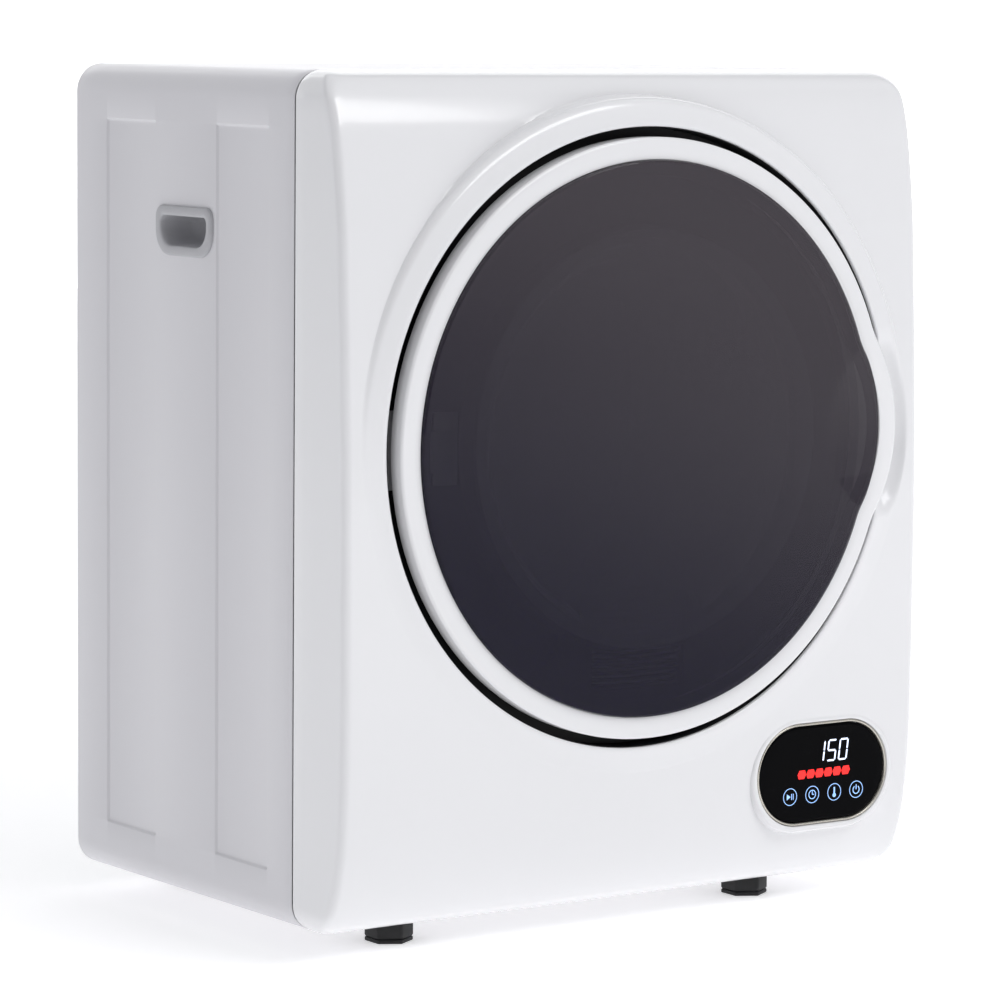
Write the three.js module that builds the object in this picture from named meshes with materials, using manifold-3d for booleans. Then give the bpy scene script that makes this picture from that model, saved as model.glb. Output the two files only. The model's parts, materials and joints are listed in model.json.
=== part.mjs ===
// Compact vented clothes dryer.
// Millimetres. X to the right, the front faces -Y, Z up. The origin is on the floor, under the
// middle of the machine. Every Mesh is one piece of the real machine.

import * as THREE from 'three';
import { mergeVertices } from 'three/addons/utils/BufferGeometryUtils.js';
import Module from 'manifold-3d';

const wasm = await Module();
wasm.setup();

// ---------------------------------------------------------------------------
// Driving dimensions
// ---------------------------------------------------------------------------

const CLEARANCE = 0.3;

// Cabinet
const BODY_WIDTH = 495;
const BODY_HEIGHT = 586;
const CABINET_DEPTH = 293;
const CORNER_RADIUS = 20;
const SHEET = 1.2;
const BASE_SHEET = 1.5;
const PRESSING_DEPTH = 1.5;
const PRESSING_WIDTH = 67.5;
const PRESSING_MARGIN_Z = 39;
const PRESSING_MARGIN_REAR = 43.5;
const PRESSING_MARGIN_FRONT = 32;
const FOOT_HEIGHT = 18;
const REAR_SLOT_COUNT = 6;
const REAR_SLOT_LENGTH = 160;
const REAR_SLOT_HEIGHT = 5;
const GLAND_X = 190;
const GLAND_RISE = 72;
const GLAND_RADIUS = 9;
const CORD_RADIUS = 4;

// Front moulding
const FASCIA_DEPTH = 67;
const FASCIA_WALL = 3;
const FASCIA_EDGE_RADIUS = 7;
const SEAM_GAP = 1.5;
const RECESS_GAP = 7;
const COLLAR_LIP = 12;
const COLLAR_FLARE = 8;
const COLLAR_DEPTH = 26;
const DOOR_AXIS_HEIGHT = 332;
const FINGER_DISH_WIDTH = 22;
const FINGER_DISH_DEPTH = 16;
const FINGER_DISH_HEIGHT = 64;

// Door
const RING_PROUD = 7;
const RING_RADIUS = 209;
const RING_WIDTH = 15.8;
const RING_DEPTH = 13.5;
const PANE_PROUD = 3;
const PANE_THICKNESS = 6;
const GRIP_BULGE = 10;
const GRIP_ARC_RADIUS = 100;
const SCOOP_RADIUS = 68;
const SCOOP_DEPTH = 4.5;
const SCOOP_INSET = 50;
const BACK_FRAME_INSET = 7.2;
const BACK_FRAME_DEPTH = 20.5;
const CHANNEL_WIDTH = 40.4;
const FLANGE_WIDTH = 14;
const FLANGE_THICKNESS = 2.5;
const DISH_DEPTH = 10;
const DISH_WALL = 2;
const DOOR_WALL = 3;
const SEAL_WIDTH = 7;
const SEAL_INSET = 4;

// Hinge and latch
const HINGE_AXIS_INSET = 12;
const HINGE_AXIS_SETBACK = 6.5;
const HINGE_PIN_RADIUS = 2;
const HINGE_PIN_HALF = 30;
const HINGE_ARM_HALF = 14;
const HINGE_ARM_REACH = 17;
const HINGE_ARM_THICKNESS = 4;
const HINGE_PLATE_HALF = 25;
const HINGE_PLATE_WIDTH = 30;
const HINGE_LEAF_WIDTH = 20;
const LATCH_INSET = 27.2;
const LATCH_WIDTH = 6;
const LATCH_HALF_HEIGHT = 8;
const LATCH_SLOT_HALF = 12;
const CATCH_HALF_HEIGHT = 37;
const CATCH_DEPTH = 14;
const SWITCH_SIZE = 18;
const SWITCH_ANGLE = 43;
const PLUNGER_RADIUS = 3;

// Throat and drum
const THROAT_SETBACK = 21;
const THROAT_INSET = 5.6;
const THROAT_WALL = 2.5;
const THROAT_PLATE_GAP = 1.5;
const AIR_PORT_HALF_WIDTH = 52;
const AIR_PORT_HEIGHT = 16;
const THROAT_CONE_START = 14;
const AIR_PORT_INSET = 9.5;
const DRUM_RADIUS = 218;
const DRUM_WALL = 1.4;
const DRUM_SHOULDER = 18.6;
const DRUM_FRONT_GAP = 7;
const DRUM_LENGTH = 238;
const DRUM_HOLE_COUNT = 12;
const DRUM_HOLE_RADIUS = 14;
const FELT_THICKNESS = 1.9;
const SHAFT_RADIUS = 10;
const SHAFT_FLANGE_RADIUS = 34;
const BEARING_CLEARANCE = 0.2;
const BUSH_WALL = 5.8;
const HUB_WALL = 8;
const HUB_LENGTH = 15;
const LIFTER_COUNT = 3;
const LIFTER_HEIGHT = 36;
const LIFTER_BASE = 40;
const LIFTER_TOP = 16;

// Drive
const MOTOR_X = 110;
const MOTOR_RISE = 11;
const MOTOR_RADIUS = 46;
const MOTOR_LENGTH = 96;
const MOTOR_GAP = 31;
const MOTOR_SHAFT_RADIUS = 6;
const PULLEY_RADIUS = 9.4;
const PULLEY_FLANGE = 3.5;
const BELT_SETBACK = 53;
const BELT_WIDTH = 10;
const BELT_THICKNESS = 1.6;
const BELT_GAP = 0.5;
const IDLER_RADIUS = 12;
const IDLER_SPAN = 26;
const IDLER_BACK = 62;
const IDLER_PIN_RADIUS = 3;
const IDLER_PIVOT_RADIUS = 4;
const TAIL_LENGTH = 16;
const TAIL_THICKNESS = 5;
const SPRING_RADIUS = 3.5;
const SPRING_WIRE_RADIUS = 0.8;
const SPRING_TURNS = 5;
const CAPACITOR_RADIUS = 15;
const CAPACITOR_LENGTH = 70;

// Air path
const IMPELLER_RADIUS = 38;
const IMPELLER_WIDTH = 20;
const IMPELLER_BLADES = 8;
const BLOWER_RADIUS = 46;
const BLOWER_DEPTH = 32;
const DRUM_ROOM = 1;
const BLOWER_EYE = 26;
const DUCT_RADIUS = 48;
const DUCT_WALL = 2;
const DUCT_X = -80;
const EXHAUST_LENGTH = 32;
const EXHAUST_WALL = 2.5;
const EXHAUST_FLANGE = 10;
const LINT_DUCT_DEPTH = 20;
const LINT_DUCT_HALF_WIDTH = 54;
const HEATER_WIDTH = 200;
const HEATER_HEIGHT = 70;
const HEATER_RISE = 92;
const HEATER_BARS = 12;

// Lint filter
const FILTER_HALF_WIDTH = 44;
const FILTER_HEIGHT = 69;
const FILTER_THICKNESS = 5;
const FILTER_RIM = 3;
const HOOD_FLARE = 0.62;
const LOUVRE_COUNT = 8;
const LOUVRE_PITCH = 4.4;

// Controls
const POD_INSET_X = 83.5;
const POD_RISE = 82.5;
const GLASS_WIDTH = 115;
const GLASS_HEIGHT = 69.5;
const GLASS_THICKNESS = 3.2;
const BEZEL_RIM = 2.2;
const BEZEL_DEPTH = 9;
const POD_RIM = 5;
const POD_DEPTH = 22;

// Side grips
const GRIP_WIDTH = 75;
const GRIP_HEIGHT = 35;
const GRIP_RIM = 7;
const GRIP_DEPTH = 28;
const GRIP_PROUD = 2.5;
const GRIP_TOP_MARGIN = 97;

// Levelling feet
const FOOT_ACROSS_FLATS = 30;
const FOOT_INSET_X = 90.5;
const FOOT_INSET_FRONT = 16;
const FOOT_INSET_REAR = 30;
const FOOT_HEX_HEIGHT = 14;
const STUD_RADIUS = 4;
const STUD_TOP = 44;

// Facets of the large turned shapes, the small ones and the cabinet's corners
const FINE = 40;
const COARSE = 20;
const CORNER_SIDES = 4;

// ---------------------------------------------------------------------------
// Levels worked out from the driving dimensions
// ---------------------------------------------------------------------------

const BODY_DEPTH = CABINET_DEPTH + FASCIA_DEPTH + RING_PROUD + PANE_PROUD;
const Y_PANE = -(EXHAUST_LENGTH + BODY_DEPTH) / 2;
const Y_RING = Y_PANE + PANE_PROUD;
const Y_FASCIA = Y_RING + RING_PROUD;
const Y_SEAM = Y_FASCIA + FASCIA_DEPTH;
const Y_REAR = Y_SEAM + CABINET_DEPTH;
const Y_PANEL = Y_REAR - SHEET;
const Y_EXHAUST = Y_REAR + EXHAUST_LENGTH;
const Z_BOTTOM = FOOT_HEIGHT;
const Z_TOP = Z_BOTTOM + BODY_HEIGHT;
const Z_AXIS = Z_BOTTOM + DOOR_AXIS_HEIGHT;
const Z_BASE = Z_BOTTOM + SHEET + CLEARANCE;
const Z_BASE_TOP = Z_BASE + BASE_SHEET;
const HALF_WIDTH = BODY_WIDTH / 2;

// Door
const PANE_RADIUS = RING_RADIUS - RING_WIDTH;
const RECESS_RADIUS = RING_RADIUS + RECESS_GAP;
const COLLAR_FACE_RADIUS = RECESS_RADIUS + COLLAR_LIP;
const COLLAR_RADIUS = COLLAR_FACE_RADIUS + COLLAR_FLARE;
const BACK_FRAME_RADIUS = PANE_RADIUS - BACK_FRAME_INSET;
const DISH_RADIUS = BACK_FRAME_RADIUS - CHANNEL_WIDTH;
const Y_PANE_BACK = Y_PANE + PANE_THICKNESS;
const Y_RING_BACK = Y_RING + RING_DEPTH;
const Y_DOOR_INSIDE = Y_PANE_BACK + 0.5;
const Y_DOOR_BACK = Y_DOOR_INSIDE + BACK_FRAME_DEPTH;
const Y_HINGE = Y_RING + HINGE_AXIS_SETBACK;
const X_HINGE = -RING_RADIUS + HINGE_AXIS_INSET;
const X_HINGE_ARM = X_HINGE + HINGE_ARM_REACH;
const X_HINGE_POCKET = X_HINGE_ARM + HINGE_ARM_THICKNESS + 2.5;
const X_LATCH = BACK_FRAME_RADIUS - LATCH_INSET;
const FILTER_Y = [Y_DOOR_BACK - FILTER_THICKNESS - DOOR_WALL, Y_DOOR_BACK - DOOR_WALL];
const Z_FILTER = Z_AXIS - BACK_FRAME_RADIUS + DOOR_WALL + 4;
const FILTER_Z = [Z_FILTER, Z_FILTER + FILTER_HEIGHT];

// Throat and drum
const Y_THROAT = Y_FASCIA + THROAT_SETBACK;
const Y_DRUM_FRONT = Y_SEAM + DRUM_FRONT_GAP;
const Y_DRUM_REAR = Y_DRUM_FRONT + DRUM_LENGTH;
const Y_REAR_BULKHEAD = Y_DRUM_REAR + 6;
const Y_FRONT_BULKHEAD = Y_SEAM + 1;
const THROAT_RADIUS = DISH_RADIUS - THROAT_INSET;
const DRUM_NECK_RADIUS = DRUM_RADIUS - DRUM_SHOULDER;
const THROAT_FLANGE_RADIUS = DRUM_NECK_RADIUS - FELT_THICKNESS - 1.5;
const BUSH_RADIUS = SHAFT_RADIUS + BEARING_CLEARANCE + BUSH_WALL;
const AIR_PORT_TOP = RECESS_RADIUS - THROAT_PLATE_GAP - AIR_PORT_INSET;
const SWITCH_ORBIT = (THROAT_RADIUS + RECESS_RADIUS) / 2 - 6;
const SWITCH_X = SWITCH_ORBIT * Math.cos((SWITCH_ANGLE * Math.PI) / 180);
const SWITCH_Z = Z_AXIS + SWITCH_ORBIT * Math.sin((SWITCH_ANGLE * Math.PI) / 180);

// Controls and grips
const POD_X = HALF_WIDTH - POD_INSET_X;
const POD_Z = Z_BOTTOM + POD_RISE;
const Y_POD = Y_FASCIA + 2;
const Y_GLASS = Y_POD + 1.5;
const GRIP_Z = Z_TOP - GRIP_TOP_MARGIN;
const FOOT_X = HALF_WIDTH - FOOT_INSET_X;
const GLAND_Z = Z_BOTTOM + GLAND_RISE;

// Drive and air path
const Y_BLOWER = Y_FRONT_BULKHEAD + SHEET + 0.4;
const Y_MOTOR = Y_BLOWER + BLOWER_DEPTH + MOTOR_GAP;
const BELT_Y = Y_DRUM_REAR - BELT_SETBACK;
const MOTOR_Z = Z_BASE_TOP + MOTOR_RISE + MOTOR_RADIUS;
const DUCT_Z = Z_BASE_TOP + 1 + DUCT_RADIUS;
const EXHAUST_RADIUS = DUCT_RADIUS + 1;
const HEATER_Y = [Y_REAR_BULKHEAD + SHEET + CLEARANCE, Y_PANEL - CLEARANCE];
const HEATER_Z = [
  Z_AXIS + HEATER_RISE - HEATER_HEIGHT / 2,
  Z_AXIS + HEATER_RISE + HEATER_HEIGHT / 2,
];
const PLENUM_X = [DUCT_X - DUCT_RADIUS - 2, DUCT_X + DUCT_RADIUS + 2];
const PLENUM_Z = [DUCT_Z - DUCT_RADIUS, DUCT_Z + DUCT_RADIUS + 2];
const CHANNEL_Z = [MOTOR_Z - BLOWER_RADIUS, MOTOR_Z - BLOWER_RADIUS + 32];
const Y_LINT_DUCT = Y_FRONT_BULKHEAD - 12;

// ---------------------------------------------------------------------------
// Shapes
// ---------------------------------------------------------------------------

// A closed geometry as a solid that can be joined and cut.
function solidOf(geometry) {
  const bare = geometry.clone();
  bare.deleteAttribute('normal');
  bare.deleteAttribute('uv');
  const merged = mergeVertices(bare, 1e-4);
  const index = merged.index.array;
  const triangles = [];
  for (let i = 0; i < index.length; i += 3) {
    const [a, b, c] = [index[i], index[i + 1], index[i + 2]];
    if (a !== b && b !== c && a !== c) triangles.push(a, b, c);
  }
  const vertProperties = new Float32Array(merged.attributes.position.array);
  const triVerts = new Uint32Array(triangles);
  return new wasm.Manifold(new wasm.Mesh({ numProp: 3, vertProperties, triVerts }));
}

function geometryOf(solid) {
  const mesh = solid.getMesh();
  const geometry = new THREE.BufferGeometry();
  geometry.setAttribute('position', new THREE.BufferAttribute(mesh.vertProperties, 3));
  geometry.setIndex(new THREE.BufferAttribute(mesh.triVerts, 1));
  const flat = geometry.toNonIndexed();
  flat.computeVertexNormals();
  return flat;
}

function join(first, ...others) {
  const start = solidOf(first);
  return geometryOf(others.reduce((sum, other) => sum.add(solidOf(other)), start));
}

function cut(first, ...tools) {
  const start = solidOf(first);
  return geometryOf(tools.reduce((rest, tool) => rest.subtract(solidOf(tool)), start));
}

function overlap(first, ...others) {
  const start = solidOf(first);
  return geometryOf(others.reduce((common, other) => common.intersect(solidOf(other)), start));
}

function block(x, y, z) {
  const geometry = new THREE.BoxGeometry(x[1] - x[0], y[1] - y[0], z[1] - z[0]);
  return geometry.translate((x[0] + x[1]) / 2, (y[0] + y[1]) / 2, (z[0] + z[1]) / 2);
}

// A round bar along Y, between two depths.
function rod(radius, y0, y1, x = 0, z = 0, sides = FINE) {
  const bar = new THREE.CylinderGeometry(radius, radius, y1 - y0, sides);
  return bar.translate(x, (y0 + y1) / 2, z);
}

function uprightRod(radius, z0, z1, x, y, sides = 24) {
  const bar = new THREE.CylinderGeometry(radius, radius, z1 - z0, sides);
  return bar.rotateX(Math.PI / 2).translate(x, y, (z0 + z1) / 2);
}

// A closed profile of [radius, y] points turned about the Y direction.
function turned(profile, x = 0, z = 0, sides = FINE) {
  const points = profile.map(([r, y]) => new THREE.Vector2(r, y));
  if (THREE.ShapeUtils.isClockWise(points)) points.reverse();
  points.push(points[0].clone());
  return new THREE.LatheGeometry(points, sides).translate(x, 0, z);
}

function pipe(outer, inner, y0, y1, x = 0, z = 0, sides = FINE) {
  return turned([[inner, y0], [outer, y0], [outer, y1], [inner, y1]], x, z, sides);
}

function extruded(shape, depth, curveSegments) {
  return new THREE.ExtrudeGeometry(shape, { depth, bevelEnabled: false, curveSegments });
}

// A shape drawn in X and Z, run along Y.
function prismY(shape, y0, y1, curveSegments = 12) {
  return extruded(shape, y1 - y0, curveSegments).rotateX(Math.PI / 2).translate(0, y1, 0);
}

// A shape drawn in Y and Z, run along X.
function prismX(shape, x0, x1, curveSegments = 12) {
  const turn = new THREE.Matrix4().makeBasis(
    new THREE.Vector3(0, 1, 0),
    new THREE.Vector3(0, 0, 1),
    new THREE.Vector3(1, 0, 0),
  );
  return extruded(shape, x1 - x0, curveSegments).applyMatrix4(turn).translate(x0, 0, 0);
}

// A shape drawn in X and Y, run along Z.
function prismZ(shape, z0, z1, curveSegments = 12) {
  return extruded(shape, z1 - z0, curveSegments).translate(0, 0, z0);
}

function polygon(points) {
  return new THREE.Shape(points.map(([u, v]) => new THREE.Vector2(u, v)));
}

function roundedRectangle(u0, u1, v0, v1, radius) {
  const shape = new THREE.Shape();
  shape.moveTo(u0 + radius, v0);
  shape.lineTo(u1 - radius, v0);
  shape.absarc(u1 - radius, v0 + radius, radius, -Math.PI / 2, 0, false);
  shape.lineTo(u1, v1 - radius);
  shape.absarc(u1 - radius, v1 - radius, radius, 0, Math.PI / 2, false);
  shape.lineTo(u0 + radius, v1);
  shape.absarc(u0 + radius, v1 - radius, radius, Math.PI / 2, Math.PI, false);
  shape.lineTo(u0, v0 + radius);
  shape.absarc(u0 + radius, v0 + radius, radius, Math.PI, 1.5 * Math.PI, false);
  return shape;
}

function stadium(width, height, u, v) {
  const radius = height / 2;
  const half = width / 2 - radius;
  const shape = new THREE.Shape();
  shape.moveTo(u - half, v - radius);
  shape.lineTo(u + half, v - radius);
  shape.absarc(u + half, v, radius, -Math.PI / 2, Math.PI / 2, false);
  shape.lineTo(u - half, v + radius);
  shape.absarc(u - half, v, radius, Math.PI / 2, 1.5 * Math.PI, false);
  return shape;
}

// The cabinet's outline in X and Z, drawn in by an inset.
function cabinetOutline(inset) {
  return roundedRectangle(
    -HALF_WIDTH + inset,
    HALF_WIDTH - inset,
    Z_BOTTOM + inset,
    Z_TOP - inset,
    CORNER_RADIUS - inset,
  );
}

// A round disc with the grip's bulge at the right, used for the ring and the pane.
function doorDisc(radius, y0, y1) {
  const grow = radius - PANE_RADIUS;
  const centre = PANE_RADIUS + GRIP_BULGE - GRIP_ARC_RADIUS;
  return join(
    rod(radius, y0, y1, 0, Z_AXIS),
    rod(GRIP_ARC_RADIUS + grow, y0, y1, centre, Z_AXIS),
  );
}

// ---------------------------------------------------------------------------
// Finishes
// ---------------------------------------------------------------------------

function finish(color, roughness, metalness = 0) {
  return new THREE.MeshStandardMaterial({ color, roughness, metalness });
}

const whiteEnamel = finish(0xe6e6ea, 0.35);
const whiteGloss = finish(0xf3f3f5, 0.15);
const smokedGlass = new THREE.MeshStandardMaterial({
  color: 0x2c2833,
  roughness: 0.05,
  transparent: true,
  opacity: 0.8,
});
const clearPlastic = new THREE.MeshStandardMaterial({
  color: 0xb9bcc4,
  roughness: 0.1,
  transparent: true,
  opacity: 0.4,
});
const darkPlastic = finish(0x1f1f22, 0.5);
const greyPlastic = finish(0x9a9ca0, 0.5);
const whitePlastic = finish(0xdcdce0, 0.45);
const blackGlass = finish(0x08080a, 0.05);
const silverPaint = finish(0xcfcdc6, 0.3, 0.6);
const zincSteel = finish(0xb4b7ba, 0.45, 0.9);
const stainless = finish(0xc6c8ca, 0.25, 1);
const castAluminium = finish(0xa8aaad, 0.5, 0.9);
const rubber = finish(0x1a1a1b, 0.85);
const felt = finish(0x8c8a80, 0.95);
const copperRed = finish(0x9a4a34, 0.5, 0.3);
const boardGreen = finish(0x1d5a38, 0.6);

function piece(name, geometry, material) {
  const mesh = new THREE.Mesh(geometry, material);
  mesh.name = name;
  return mesh;
}

function gather(...members) {
  const group = new THREE.Group();
  group.add(...members);
  return group;
}

// ---------------------------------------------------------------------------
// Cabinet
// ---------------------------------------------------------------------------

// Depths of the two pressings in each side, front and rear.
const pressings = [
  [Y_SEAM + PRESSING_MARGIN_FRONT, Y_SEAM + PRESSING_MARGIN_FRONT + PRESSING_WIDTH],
  [Y_REAR - PRESSING_MARGIN_REAR - PRESSING_WIDTH, Y_REAR - PRESSING_MARGIN_REAR],
];
const pressingZ = [Z_BOTTOM + PRESSING_MARGIN_Z, Z_TOP - PRESSING_MARGIN_Z];
const gripY = (pressings[0][1] + pressings[1][0]) / 2;

function footPlaces() {
  const front = Y_SEAM + FOOT_INSET_FRONT;
  const rear = Y_REAR - FOOT_INSET_REAR;
  return [
    ['foot_front_left', -FOOT_X, front],
    ['foot_front_right', FOOT_X, front],
    ['foot_rear_left', -FOOT_X, rear],
    ['foot_rear_right', FOOT_X, rear],
  ];
}

// The grip's outline: flat along the top, round at the bottom, drawn in by an inset.
function gripOutline(inset) {
  const half = GRIP_WIDTH / 2 - inset;
  const top = GRIP_Z - inset;
  const bottom = GRIP_Z - GRIP_HEIGHT + inset;
  const small = 8 - inset / 2;
  const large = GRIP_HEIGHT / 2 - inset / 2;
  const shape = new THREE.Shape();
  shape.moveTo(gripY - half + large, bottom);
  shape.lineTo(gripY + half - large, bottom);
  shape.absarc(gripY + half - large, bottom + large, large, -Math.PI / 2, 0, false);
  shape.lineTo(gripY + half, top - small);
  shape.absarc(gripY + half - small, top - small, small, 0, Math.PI / 2, false);
  shape.lineTo(gripY - half + small, top);
  shape.absarc(gripY - half + small, top - small, small, Math.PI / 2, Math.PI, false);
  shape.lineTo(gripY - half, bottom + large);
  shape.absarc(gripY - half + large, bottom + large, large, Math.PI, 1.5 * Math.PI, false);
  return shape;
}

function mirrored(range) {
  return [-range[1], -range[0]];
}

// Room that the pressed-in panels take up inside the cabinet.
function pressingRoom() {
  const x = [HALF_WIDTH - PRESSING_DEPTH - SHEET - CLEARANCE, HALF_WIDTH];
  const z = [pressingZ[0] - SHEET - CLEARANCE, pressingZ[1] + SHEET + CLEARANCE];
  const rooms = [];
  for (const pressing of pressings) {
    const y = [pressing[0] - SHEET, pressing[1] + SHEET];
    rooms.push(block(x, y, z), block(mirrored(x), y, z));
  }
  return rooms;
}

function cabinetWrap() {
  const inner = prismY(cabinetOutline(SHEET), Y_SEAM - 1, Y_REAR + 1, CORNER_SIDES);
  const sleeve = cut(prismY(cabinetOutline(0), Y_SEAM, Y_REAR, CORNER_SIDES), inner);
  const padX = [HALF_WIDTH - PRESSING_DEPTH - SHEET, HALF_WIDTH - SHEET / 2];
  const pocketX = [HALF_WIDTH - PRESSING_DEPTH, HALF_WIDTH + 1];
  const pads = [];
  const pockets = [];
  for (const y of pressings) {
    const padY = [y[0] - SHEET, y[1] + SHEET];
    const padZ = [pressingZ[0] - SHEET, pressingZ[1] + SHEET];
    pads.push(block(padX, padY, padZ), block(mirrored(padX), padY, padZ));
    pockets.push(block(pocketX, y, pressingZ), block(mirrored(pocketX), y, pressingZ));
  }
  const gripHole = prismX(gripOutline(GRIP_RIM / 2), -HALF_WIDTH - 5, HALF_WIDTH + 5, 4);
  const studHoles = footPlaces().map(([, x, y]) =>
    uprightRod(STUD_RADIUS + CLEARANCE, Z_BOTTOM - 1, Z_BOTTOM + SHEET + 1, x, y, 12));
  return cut(join(sleeve, ...pads), ...pockets, gripHole, ...studHoles);
}

function basePlate() {
  const plate = block(
    [-HALF_WIDTH + CORNER_RADIUS + 1, HALF_WIDTH - CORNER_RADIUS - 1],
    [Y_SEAM + 4, Y_REAR - 12],
    [Z_BASE, Z_BASE_TOP],
  );
  const studHoles = footPlaces().map(([, x, y]) =>
    uprightRod(STUD_RADIUS + CLEARANCE, Z_BASE - 1, Z_BASE_TOP + 1, x, y, 12));
  return cut(plate, ...studHoles);
}

function rearPanel() {
  const plate = prismY(cabinetOutline(SHEET + CLEARANCE), Y_PANEL, Y_REAR, CORNER_SIDES);
  const ductHole = rod(DUCT_RADIUS + 1, Y_PANEL - 1, Y_REAR + 1, DUCT_X, DUCT_Z, COARSE);
  const glandHole = rod(GLAND_RADIUS, Y_PANEL - 1, Y_REAR + 1, GLAND_X, GLAND_Z, 16);
  const slots = [];
  const half = REAR_SLOT_LENGTH / 2;
  for (let i = 0; i < REAR_SLOT_COUNT; i += 1) {
    const z = HEATER_Z[0] + (i + 0.5) * (HEATER_HEIGHT / REAR_SLOT_COUNT);
    const height = [z - REAR_SLOT_HEIGHT / 2, z + REAR_SLOT_HEIGHT / 2];
    slots.push(block([-half, half], [Y_PANEL - 1, Y_REAR + 1], height));
  }
  return cut(plate, ductHole, glandHole, ...slots);
}

function cordGland() {
  return turned([
    [CORD_RADIUS, Y_PANEL - 6],
    [GLAND_RADIUS + 2, Y_PANEL - 6],
    [GLAND_RADIUS + 2, Y_PANEL - CLEARANCE],
    [GLAND_RADIUS - CLEARANCE, Y_PANEL - CLEARANCE],
    [GLAND_RADIUS - CLEARANCE, Y_REAR + CLEARANCE],
    [GLAND_RADIUS + 3, Y_REAR + CLEARANCE],
    [GLAND_RADIUS + 1, Y_REAR + 5],
    [CORD_RADIUS, Y_REAR + 5],
  ], GLAND_X, GLAND_Z, 16);
}

// One side grip: a rim outside the sheet and a closed cup through it. The side is -1 or 1.
function sideGrip(side) {
  const span = (a, b) => (side > 0 ? [HALF_WIDTH + a, HALF_WIDTH + b] : [-HALF_WIDTH - b, -HALF_WIDTH - a]);
  const rim = span(CLEARANCE, GRIP_PROUD);
  const cup = span(-GRIP_DEPTH, GRIP_PROUD);
  const hollow = span(-GRIP_DEPTH + 2, GRIP_PROUD + 1);
  const rimPiece = prismX(gripOutline(0), rim[0], rim[1], 4);
  const cupPiece = prismX(gripOutline(GRIP_RIM / 2 + CLEARANCE), cup[0], cup[1], 4);
  const opening = prismX(gripOutline(GRIP_RIM), hollow[0], hollow[1], 4);
  return cut(join(rimPiece, cupPiece), opening);
}

function levellingFoot() {
  const cornerRadius = FOOT_ACROSS_FLATS / Math.sqrt(3);
  const hex = uprightRod(cornerRadius, 0, FOOT_HEX_HEIGHT, 0, 0, 6);
  const neck = uprightRod(cornerRadius * 0.6, FOOT_HEX_HEIGHT - 1, FOOT_HEIGHT - CLEARANCE, 0, 0, 12);
  const stud = uprightRod(STUD_RADIUS, FOOT_HEX_HEIGHT - 1, STUD_TOP, 0, 0, 12);
  return join(hex, neck, stud);
}

function cabinet() {
  const group = gather(
    piece('cabinet_wrap', cabinetWrap(), whiteEnamel),
    piece('base_plate', basePlate(), zincSteel),
    piece('rear_panel', rearPanel(), zincSteel),
    piece('cord_gland', cordGland(), darkPlastic),
    piece('side_grip_left', sideGrip(-1), greyPlastic),
    piece('side_grip_right', sideGrip(1), greyPlastic),
  );
  for (const [name, x, y] of footPlaces()) {
    const foot = piece(name, levellingFoot(), darkPlastic);
    foot.position.set(x, y, 0);
    group.add(foot);
  }
  return group;
}

// ---------------------------------------------------------------------------
// Front moulding, bulkheads and throat
// ---------------------------------------------------------------------------

// The bowed side view of the front moulding, in Y and Z, drawn in by an inset.
function bowOutline(inset) {
  const rear = Y_SEAM + (inset > 0 ? 5 : -SEAM_GAP);
  const y = (depth) => Y_SEAM - depth + inset;
  const low = (height) => Z_BOTTOM + height + inset;
  const high = (height) => Z_TOP - height - inset;
  const shape = new THREE.Shape();
  shape.moveTo(rear, low(0));
  shape.lineTo(y(14), low(0));
  shape.bezierCurveTo(y(46), low(0), y(FASCIA_DEPTH - 3), low(22), y(FASCIA_DEPTH - 0.5), low(120));
  shape.lineTo(y(FASCIA_DEPTH), low(250));
  shape.lineTo(y(FASCIA_DEPTH), high(290));
  shape.bezierCurveTo(
    y(FASCIA_DEPTH - 1), high(230),
    y(FASCIA_DEPTH - 4.5), high(150),
    y(FASCIA_DEPTH - 7), high(105),
  );
  shape.bezierCurveTo(y(FASCIA_DEPTH - 15), high(30), y(48), high(0), y(16), high(0));
  shape.lineTo(rear, high(0));
  return shape;
}

function fasciaBody(inset) {
  const rear = Y_SEAM + (inset > 0 ? 5 : -SEAM_GAP);
  const front = Y_FASCIA + inset;
  const radius = FASCIA_EDGE_RADIUS;
  const plan = roundedRectangle(
    -HALF_WIDTH + inset,
    HALF_WIDTH - inset,
    front,
    rear + radius,
    radius,
  );
  return overlap(
    prismX(bowOutline(inset), -HALF_WIDTH + inset, HALF_WIDTH - inset, 7),
    prismZ(plan, Z_BOTTOM, Z_TOP, 3),
    prismY(cabinetOutline(inset), front - 1, rear, CORNER_SIDES),
  );
}

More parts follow.
